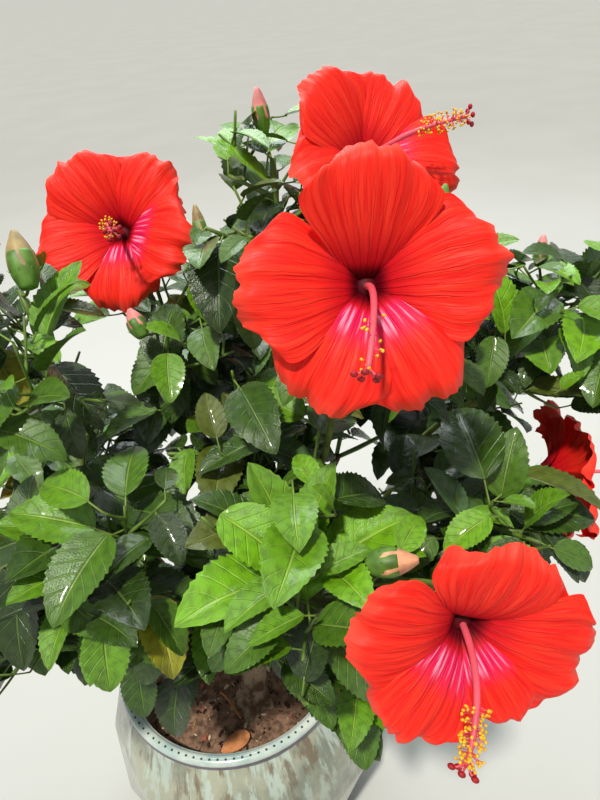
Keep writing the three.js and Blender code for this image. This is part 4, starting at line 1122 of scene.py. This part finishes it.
COLUMN_RADII = (2.3, 1.5)
ANTHER_PLACES = (0.62, 0.36)
ANTHER_RADII = (1.15, 0.9)
THREAD_LENGTHS = (3.4, 4.6)
PAD_RADII = (1.6, 2.2)
PAD_REACH = 7.5
CUP_RADII = (2.6, 8.6)
LOBE_HALF = 5.4


def add_column(pile, bloom, anthers, draw):
    """The column with its anthers, on threads, and its stigma's five pads."""
    throat, tip = bloom["throat"], bloom["column"]
    bend = throat + bloom["out"] * (size(tip - throat) * COLUMN_REST)
    line = dict(foot=bloom["seat"], bend=bend, tip=tip)
    pile.add(line_tube(line, np.linspace(*COLUMN_RADII, 22), 10), 0)
    for i in range(anthers):
        t = spread(ANTHER_PLACES, draw() ** 0.8)
        axis = direction_of(line, t)
        way = unit(around(*sides_of(axis), i * GOLDEN_ANGLE) + axis * (0.5 * draw() - 0.05))
        root = along_line(line, t)
        end = root + way * spread(THREAD_LENGTHS, draw())
        pile.add(tube([root, mix(root, end, 0.5), end], [0.3, 0.25, 0.22], 3), 0)
        pile.add(blob(end, ANTHER_RADII, vec(draw() - 0.5, draw() - 0.5, draw() - 0.4)), 1)
    axis = direction_of(line, 1)
    for ray in rays(*sides_of(axis), 5, 0.3):
        pad = tip + unit(ray + axis * 0.55) * PAD_REACH - axis
        pile.add(tube([tip - axis * 2, mix(tip, pad, 0.6), pad], [0.7, 0.55, 0.5], 6), 0)
        pile.add(blob(pad, PAD_RADII, axis, 6, 12), 2)


def add_calyx(pile, bloom, stalk):
    """The stalk, the cup with its five lobes, and the bracts under it."""
    out, side, up = bloom["out"], bloom["side"], bloom["up"]
    pile.add(line_tube(stalk, np.linspace(*stalk["radii"], 14) * 0.85, 8), 1)
    foot, mouth = stalk["tip"] - out * 3, bloom["throat"] - out * (bloom["petal"] * 0.33)
    radii = spread(CUP_RADII, np.sin(math.pi * 0.5 * np.linspace(0, 1, 9)) ** 0.8)
    pile.add(tube(np.linspace(foot, mouth, 9), radii, 12), 0)
    places = [(0.5 + 0.5 * s, t) for t in np.linspace(0, 1, 7) for s in (-1, 0, 1)]
    for ray in rays(side, up, 5):
        root = mix(foot, mouth, 0.8) + ray * 9.5
        lobe = dict(foot=root, bend=root + out * 7 + ray * 3, tip=root + out * 11 + ray * 10)
        wide = cross(out, ray)
        corners = [along_line(lobe, t) + wide * ((2 * x - 1) * LOBE_HALF * (1 - t) ** 0.8) for x, t in places]
        pile.add((corners, strips(7, 3, False), places), 0)
    for ray in rays(side, up, 7, 0.2):
        root = foot + ray * 2.4
        tip = root + out * 11 + ray * 9
        pile.add(tube([root, mix(root, tip, 0.5) + out * 1.5, tip], [0.8, 0.9, 0.2], 4), 0)


BLOOM_SEED = 300
petal_pile, column_pile, calyx_pile = Pile(), Pile(), Pile()
for index, (name, bloom) in enumerate(BLOOMS.items()):
    draw = seeded(BLOOM_SEED + index)
    even_turns = [bloom["turn"] + petal * 360 / BLOOM_PETALS for petal in range(BLOOM_PETALS)]
    look = {**EVEN_LOOK, "turns": even_turns, **BLOOM_LOOKS.get(name, {})}
    for petal in range(BLOOM_PETALS):
        petal_pile.add(petal_shape(bloom, look, petal, draw), int(petal in look["streaked"]))
    bloom["seat"] = bloom["throat"] - bloom["out"] * (bloom["petal"] * 0.34)
    petal_pile.add(blob(bloom["seat"], (5, 7.5), bloom["out"], 6, 16), 2)
    add_column(column_pile, bloom, look["anthers"], draw)
    add_calyx(calyx_pile, bloom, stalks[name])

throat_look = plain_material("throat", (0.08, 0.001, 0.004, 1), 0.6, 0.2, 200.0, 0.2)
petal_looks = [petal_material("petal", False), petal_material("petal_streaked", True), throat_look]
petals = petal_pile.make("petals", petal_looks)
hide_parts(*BLOOMS)
column_looks = plain_materials([
    ("column", 0xE65868, 0.5, 0.12),
    ("anther", 0xEEB41C, 0.7, 0.3, 300.0),
    ("stigma", 0x9C0614, 0.6, 0.2, 300.0),
])
columns = column_pile.make("columns", column_looks)
calyces = calyx_pile.make("calyces", [plain_material("calyx", 0x5C8A2C, 0.5, 0.3, 80.0), young_look])

# Buds: a ribbed calyx, and in it furled petals with a twisted tip. Each part is its two ends, its thickness, how deep
# its ribs are and how far they turn.
BUD_TIPS = {"green": 0, "pink": 1, "olive": 2, "peach": 3}
BUD_CALYX = (0.0, 0.62, 1.0, 0.05, 0)
BUD_FURL = (0.3, 1.0, 0.93, 0.09, 5)
BUD_ROWS, BUD_SIDES = 14, 20
bud_pile = Pile()
for mass, middle, way, long, wide, tone in BUDS:
    way, middle = unit(way), vec(middle)
    foot, tip = middle - way * (long / 2), middle + way * (long / 2)
    for (start, finish, thick, ribs, turned), look in ((BUD_CALYX, 0), (BUD_FURL, BUD_TIPS[tone])):
        rows = np.linspace(start, finish, BUD_ROWS)
        full = [wide * 0.5 * (0.12 + 0.88 * math.sin(math.pi * min(1, 0.16 + t * 0.8))) * thick for t in rows]
        radii = [radius * (1 + ribs * np.sin(5 * turns_of(BUD_SIDES) + turned * t)) for radius, t in zip(full, rows)]
        bud_pile.add(tube([mix(foot, tip, t) for t in rows], radii, BUD_SIDES), look)
    for ray in rays(*sides_of(way), 7):
        root = foot + way * 1.5 + ray * 1.6
        end = root + way * (long * 0.3) + ray * (wide * 0.5)
        bud_pile.add(tube([root, mix(root, end, 0.5), end], [0.8, 0.8, 0.2], 4), 0)
    root = nearest_point([stems[mass]], foot, (0.7, 0.97))
    stalk = dict(foot=root, bend=mix(root, foot, 0.6) - way * 6, tip=foot + way * 3)
    bud_pile.add(line_tube(stalk, [1.4] * 9, 6), 4)
bud_looks = plain_materials([
    ("bud_calyx", 0x557C2A, 0.5, 0.35, 90.0),
    ("bud_pink", 0xE08A84, 0.5, 0.25, 90.0),
    ("bud_olive", 0xA08A5A, 0.55, 0.3, 70.0),
    ("bud_peach", 0xE0A078, 0.55, 0.25, 90.0),
])
buds = bud_pile.make("buds", [*bud_looks, young_look])


# The pot: flat facets under a ring of a rim.
def lathe(profile, segments, start=0.0, step=0.0):
    """A shell of rings, each with its radius and height. The first is turned by the start, and each by a step more."""
    corners = []
    for i, (radius, height) in enumerate(profile):
        turn = start + i * step
        side, up = vec(math.cos(turn), math.sin(turn), 0), vec(-math.sin(turn), math.cos(turn), 0)
        corners.append(ring_of(side, up, segments) * radius + vec(0, 0, height))
    return np.concatenate(corners), strips(len(profile), segments, True), ring_places(len(profile), segments)


RIM_DOTS = 96
DOT_EDGE = (0.0019, 0.0011)


def glaze(name, rim):
    n = Nodes(name, 0.2, coat=0.35)
    place = n.place()
    x, y, z = n.split(place)
    wide = n.math("SQRT", x * x + y * y)
    if rim:
        middle = (MOUTH_RADIUS + RIM_RADIUS) / 2 * MM
        turn = n.math("ARCTAN2", y, x) * (RIM_DOTS / (2 * math.pi))
        arc, off = (n.math("FRACT", turn) - 0.5) * (2 * math.pi * middle / RIM_DOTS), wide - middle
        dot = n.smooth(n.math("SQRT", arc * arc + off * off), *DOT_EDGE)
        pale = n.blend(n.smooth(n.noise(place, 30.0, 3.0), 0.35, 0.65), 0xA4BAB2, 0xCCD4C8)
        return n.paint(n.blend(dot, pale, 0x2E3E3C))
    # Two sets of runs, by direction and height: the noise is read on a ring, so that it closes behind the pot.
    ring_x, ring_y = x / wide, y / wide
    drip = n.noise(n.joined(ring_x, ring_y, z * 1.6), 9.0, 4.0, 0.65)
    pale_run = n.noise(n.joined(ring_y, ring_x, z * 1.2), 11.0, 4.0, 0.65)
    sage = n.blend(n.smooth(n.noise(place, 14.0, 4.0, 0.6), 0.35, 0.65), 0x7E8474, 0xAAAC94)
    high = n.smooth(z, 0.17, 0.31)
    pale = n.blend(n.smooth(pale_run, 0.5, 0.6) * (high * 0.5 + 0.3), sage, 0xBCCCC0)
    return n.paint(n.blend(n.smooth(drip, 0.5, 0.62) * (high * 0.6 + 0.25), pale, 0x6E5A40))


levels = (POT_HEIGHT - RIM_DEPTH / 2) * (1 - np.arange(FACET_ROWS + 1) / FACET_ROWS)
profile = zip(pot_radius(levels), levels)
corners, quads, _ = lathe(list(profile), FACETS_ROUND, math.pi / 2, math.pi / FACETS_ROUND)
corners, bottom = np.concatenate([corners, [(0, 0, 0)]]), len(corners)
faces = fan(bottom, bottom - FACETS_ROUND, FACETS_ROUND, back=True)
for a, b, d, c in quads:
    faces += [[a, c, b], [b, c, d]]
RIDGE_WIDTH = 0.0018
pot_pile = Pile()
pot_pile.add((corners, faces, np.zeros((len(corners), 2))), 0)
pot_body = pot_pile.make("pot_body", [glaze("glaze", False)], smooth=False)
bevel = pot_body.modifiers.new("soft_ridges", "BEVEL")
bevel.width = RIDGE_WIDTH
bevel.segments = 3
bevel.limit_method = "ANGLE"
bevel.angle_limit = math.radians(4)
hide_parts("pot")

# The rim's ring with its lip inside the mouth, and the ledge under it, its darker glaze partly painted shade: radii and
# heights.
top, rim_middle, rim_edge, rim_sides = POT_HEIGHT, (MOUTH_RADIUS + RIM_RADIUS) / 2 - 0.5, RIM_RADIUS - 0.4, 120
lip = [(7, SOIL_TOP - 12), (6, SOIL_TOP + 8), (4, top - 12), (2.5, top - 5)]
ring = [(rim_middle + 6.6 * math.cos(turn), top - 5 + 5 * math.sin(turn)) for turn in np.linspace(math.pi, 0, 9)]
ledge = [
    (rim_edge, top - 7), (RIM_RADIUS + 0.6, top - 9.5), (RIM_RADIUS + 0.4, top - 12.5), (RIM_RADIUS - 2.4, top - 17),
    (NECK_RADIUS - 6, top - 21),
]
rim_pile = Pile()
rim_pile.add(lathe([(MOUTH_RADIUS - inward, height) for inward, height in lip] + ring + ledge[:1], rim_sides), 0)
rim_pile.add(lathe(ledge, rim_sides), 1)
# The ledge's darker lilac glaze: partly the glaze's own tone, partly painted shade under the rim.
ledge_glaze_and_shade = plain_material("ledge_glaze_and_shade", 0x5E5660, 0.25, 0.3, 30.0, coat=0.3)
rim = rim_pile.make("pot_rim", [glaze("rim_glaze", True), ledge_glaze_and_shade])
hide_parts("pot")

# Soil with chips of bark, a fallen leaf and a curled twig.
SOIL_RADIUS = MOUTH_RADIUS - 5.5
SOIL_RINGS, SOIL_SPOKES, SOIL_UNDER = 44, 110, SOIL_TOP - 14
BUMP_PITCHES = (0.05, 0.35)
BUMP_COUNT, CHIP_COUNT = 14, 900
CHIP_LENGTHS = (1.2, 4.2)
CHIP_THICKNESSES = (0.25, 0.3)
soil_draw = seeded(77)
bumps = []
for _ in range(BUMP_COUNT):
    pitches = [spread(BUMP_PITCHES, soil_draw()) for _ in range(2)]
    bumps.append((*pitches, soil_draw() * FULL_TURN, soil_draw() * FULL_TURN))


def soil_height(x, y):
    rough = sum(np.sin(x * a + c) * np.sin(y * b + d) for a, b, c, d in bumps)
    return SOIL_TOP + SOIL_MOUND * (1 - (np.hypot(x, y) / SOIL_RADIUS) ** 2) + 0.55 * rough


profile = [(SOIL_RADIUS * i / SOIL_RINGS, 0) for i in range(1, SOIL_RINGS + 1)] + [(SOIL_RADIUS, SOIL_UNDER)]
corners, faces, _ = lathe(profile, SOIL_SPOKES)
surface = corners[:-SOIL_SPOKES]
surface[:, 2] = soil_height(surface[:, 0], surface[:, 1])
middles = [(0, 0, soil_height(0, 0)), (0, 0, SOIL_UNDER)]
middle, under = len(corners), len(corners) + 1
faces = [[face[0], *face[:0:-1]] for face in faces]
faces += fan(middle, 0, SOIL_SPOKES) + fan(under, middle - SOIL_SPOKES, SOIL_SPOKES, back=True)
soil_pile = Pile()
soil_pile.add((np.concatenate([corners, middles]), faces, np.zeros((under + 1, 2))), 0)
# How likely each colour of chip is, summed up.
CHIPS = (0.5, 0.78, 0.93, 1.0)
for _ in range(CHIP_COUNT):
    angle, wide = soil_draw() * FULL_TURN, math.sqrt(soil_draw()) * (SOIL_RADIUS - 7)
    x, y = wide * math.cos(angle), wide * math.sin(angle)
    way = vec(soil_draw() - 0.5, soil_draw() - 0.5, (soil_draw() - 0.5) * 0.5)
    long = spread(CHIP_LENGTHS, soil_draw() ** 2)
    thick = long * spread(CHIP_THICKNESSES, soil_draw())
    pick = soil_draw()
    look = 1 + int(np.searchsorted(CHIPS, pick))
    middle = vec(x, y, soil_height(x, y) + thick * 0.35)
    soil_pile.add(blob(middle, (long, thick, thick * 0.7), way, 3, 5), look)
dead_foot = vec(20, -112, 303)
dead = leaf_from(dead_foot, dead_foot, unit((-0.86, -0.45, 0.05)), 22, 38, 0.25)
soil_pile.add(leaf_shape(dead, FINE_BLADE, soil_draw), 5)
curl = dict(foot=vec(-20, -56, 308), bend=vec(-10, -62, 312), tip=vec(9, -92, 304))
soil_pile.add(line_tube(curl, [1.6] * 12, 6), 5)
soil_looks = plain_materials([
    ("soil", 0x745A48, 0.95, 0.45, 130.0, 0.1, 0.0, 0.003),
    ("chip_dark", 0x3A2A22, 0.9, 0.3, 200.0, 0.1),
    ("chip_brown", 0x8A6A50, 0.9, 0.3, 200.0, 0.1),
    ("chip_pale", 0xC8B49A, 0.9, 0.25, 200.0, 0.1),
    ("chip_red", 0xA85A44, 0.9, 0.25, 200.0, 0.1),
    ("fallen", 0xB07448, 0.8, 0.3, 90.0, 0.2),
])
soil = soil_pile.make("soil_surface", soil_looks)
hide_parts("soil")

# Floor, light and camera, in metres.
FLOOR_HALF = 250
floor_mesh = bpy.data.meshes.new("floor")
floor_corners = [(x * FLOOR_HALF, y * FLOOR_HALF, 0) for x, y in ((-1, -1), (1, -1), (1, 1), (-1, 1))]
floor_mesh.from_pydata(floor_corners, [], [[0, 1, 2, 3]])
floor_mesh.materials.append(plain_material("floor", 0xB4B4AE, 0.9, 0.02, 2.0, 0.1))
floor = put("floor", floor_mesh)


def facing(way):
    return Vector(way).to_track_quat("Z", "Y").to_euler()


scene = bpy.context.scene
scene.world = bpy.data.worlds.new("studio")
scene.world.use_nodes = True
background = scene.world.node_tree.nodes["Background"]
background.inputs["Color"].default_value = (0.88, 0.94, 1.0, 1)
background.inputs["Strength"].default_value = 0.42

sun = put("key", bpy.data.lights.new("key", "SUN"))
sun.data.energy = 3.5
sun.data.angle = math.radians(4)
sun.data.color = (1.0, 0.96, 0.9)
sun.rotation_euler = facing((-0.15, -0.33, 0.8))

sky = put("broad", bpy.data.lights.new("broad", "AREA"))
sky.data.shape = "RECTANGLE"
sky.data.size, sky.data.size_y = 2.2, 1.2
sky.data.energy = 60
sky.data.color = (0.9, 0.97, 1.0)
sky.location = (0.1, 1.7, 2.5)
sky.rotation_euler = facing(sky.location - Vector((0.1, 0, 0.6)))

# The photograph's own view: 800 pixels high, with a focal length of 616.
PHOTO_HEIGHT, FOCAL_PIXELS, SENSOR = 800, 616, 36
LOOKS_DOWN, ROLL = 35.5, -6.2
camera = put("camera", bpy.data.cameras.new("camera"))
camera.data.lens = FOCAL_PIXELS * SENSOR / PHOTO_HEIGHT
camera.data.sensor_width = SENSOR
camera.data.clip_start = 0.02
camera.location = (0.131, -0.514, 1.105)
tilt, roll = Matrix.Rotation(math.radians(90 - LOOKS_DOWN), 3, "X"), Matrix.Rotation(math.radians(ROLL), 3, "Z")
camera.rotation_euler = (tilt @ roll).to_euler()
scene.camera = camera
scene.view_settings.view_transform = "Standard"

bpy.context.view_layer.update()
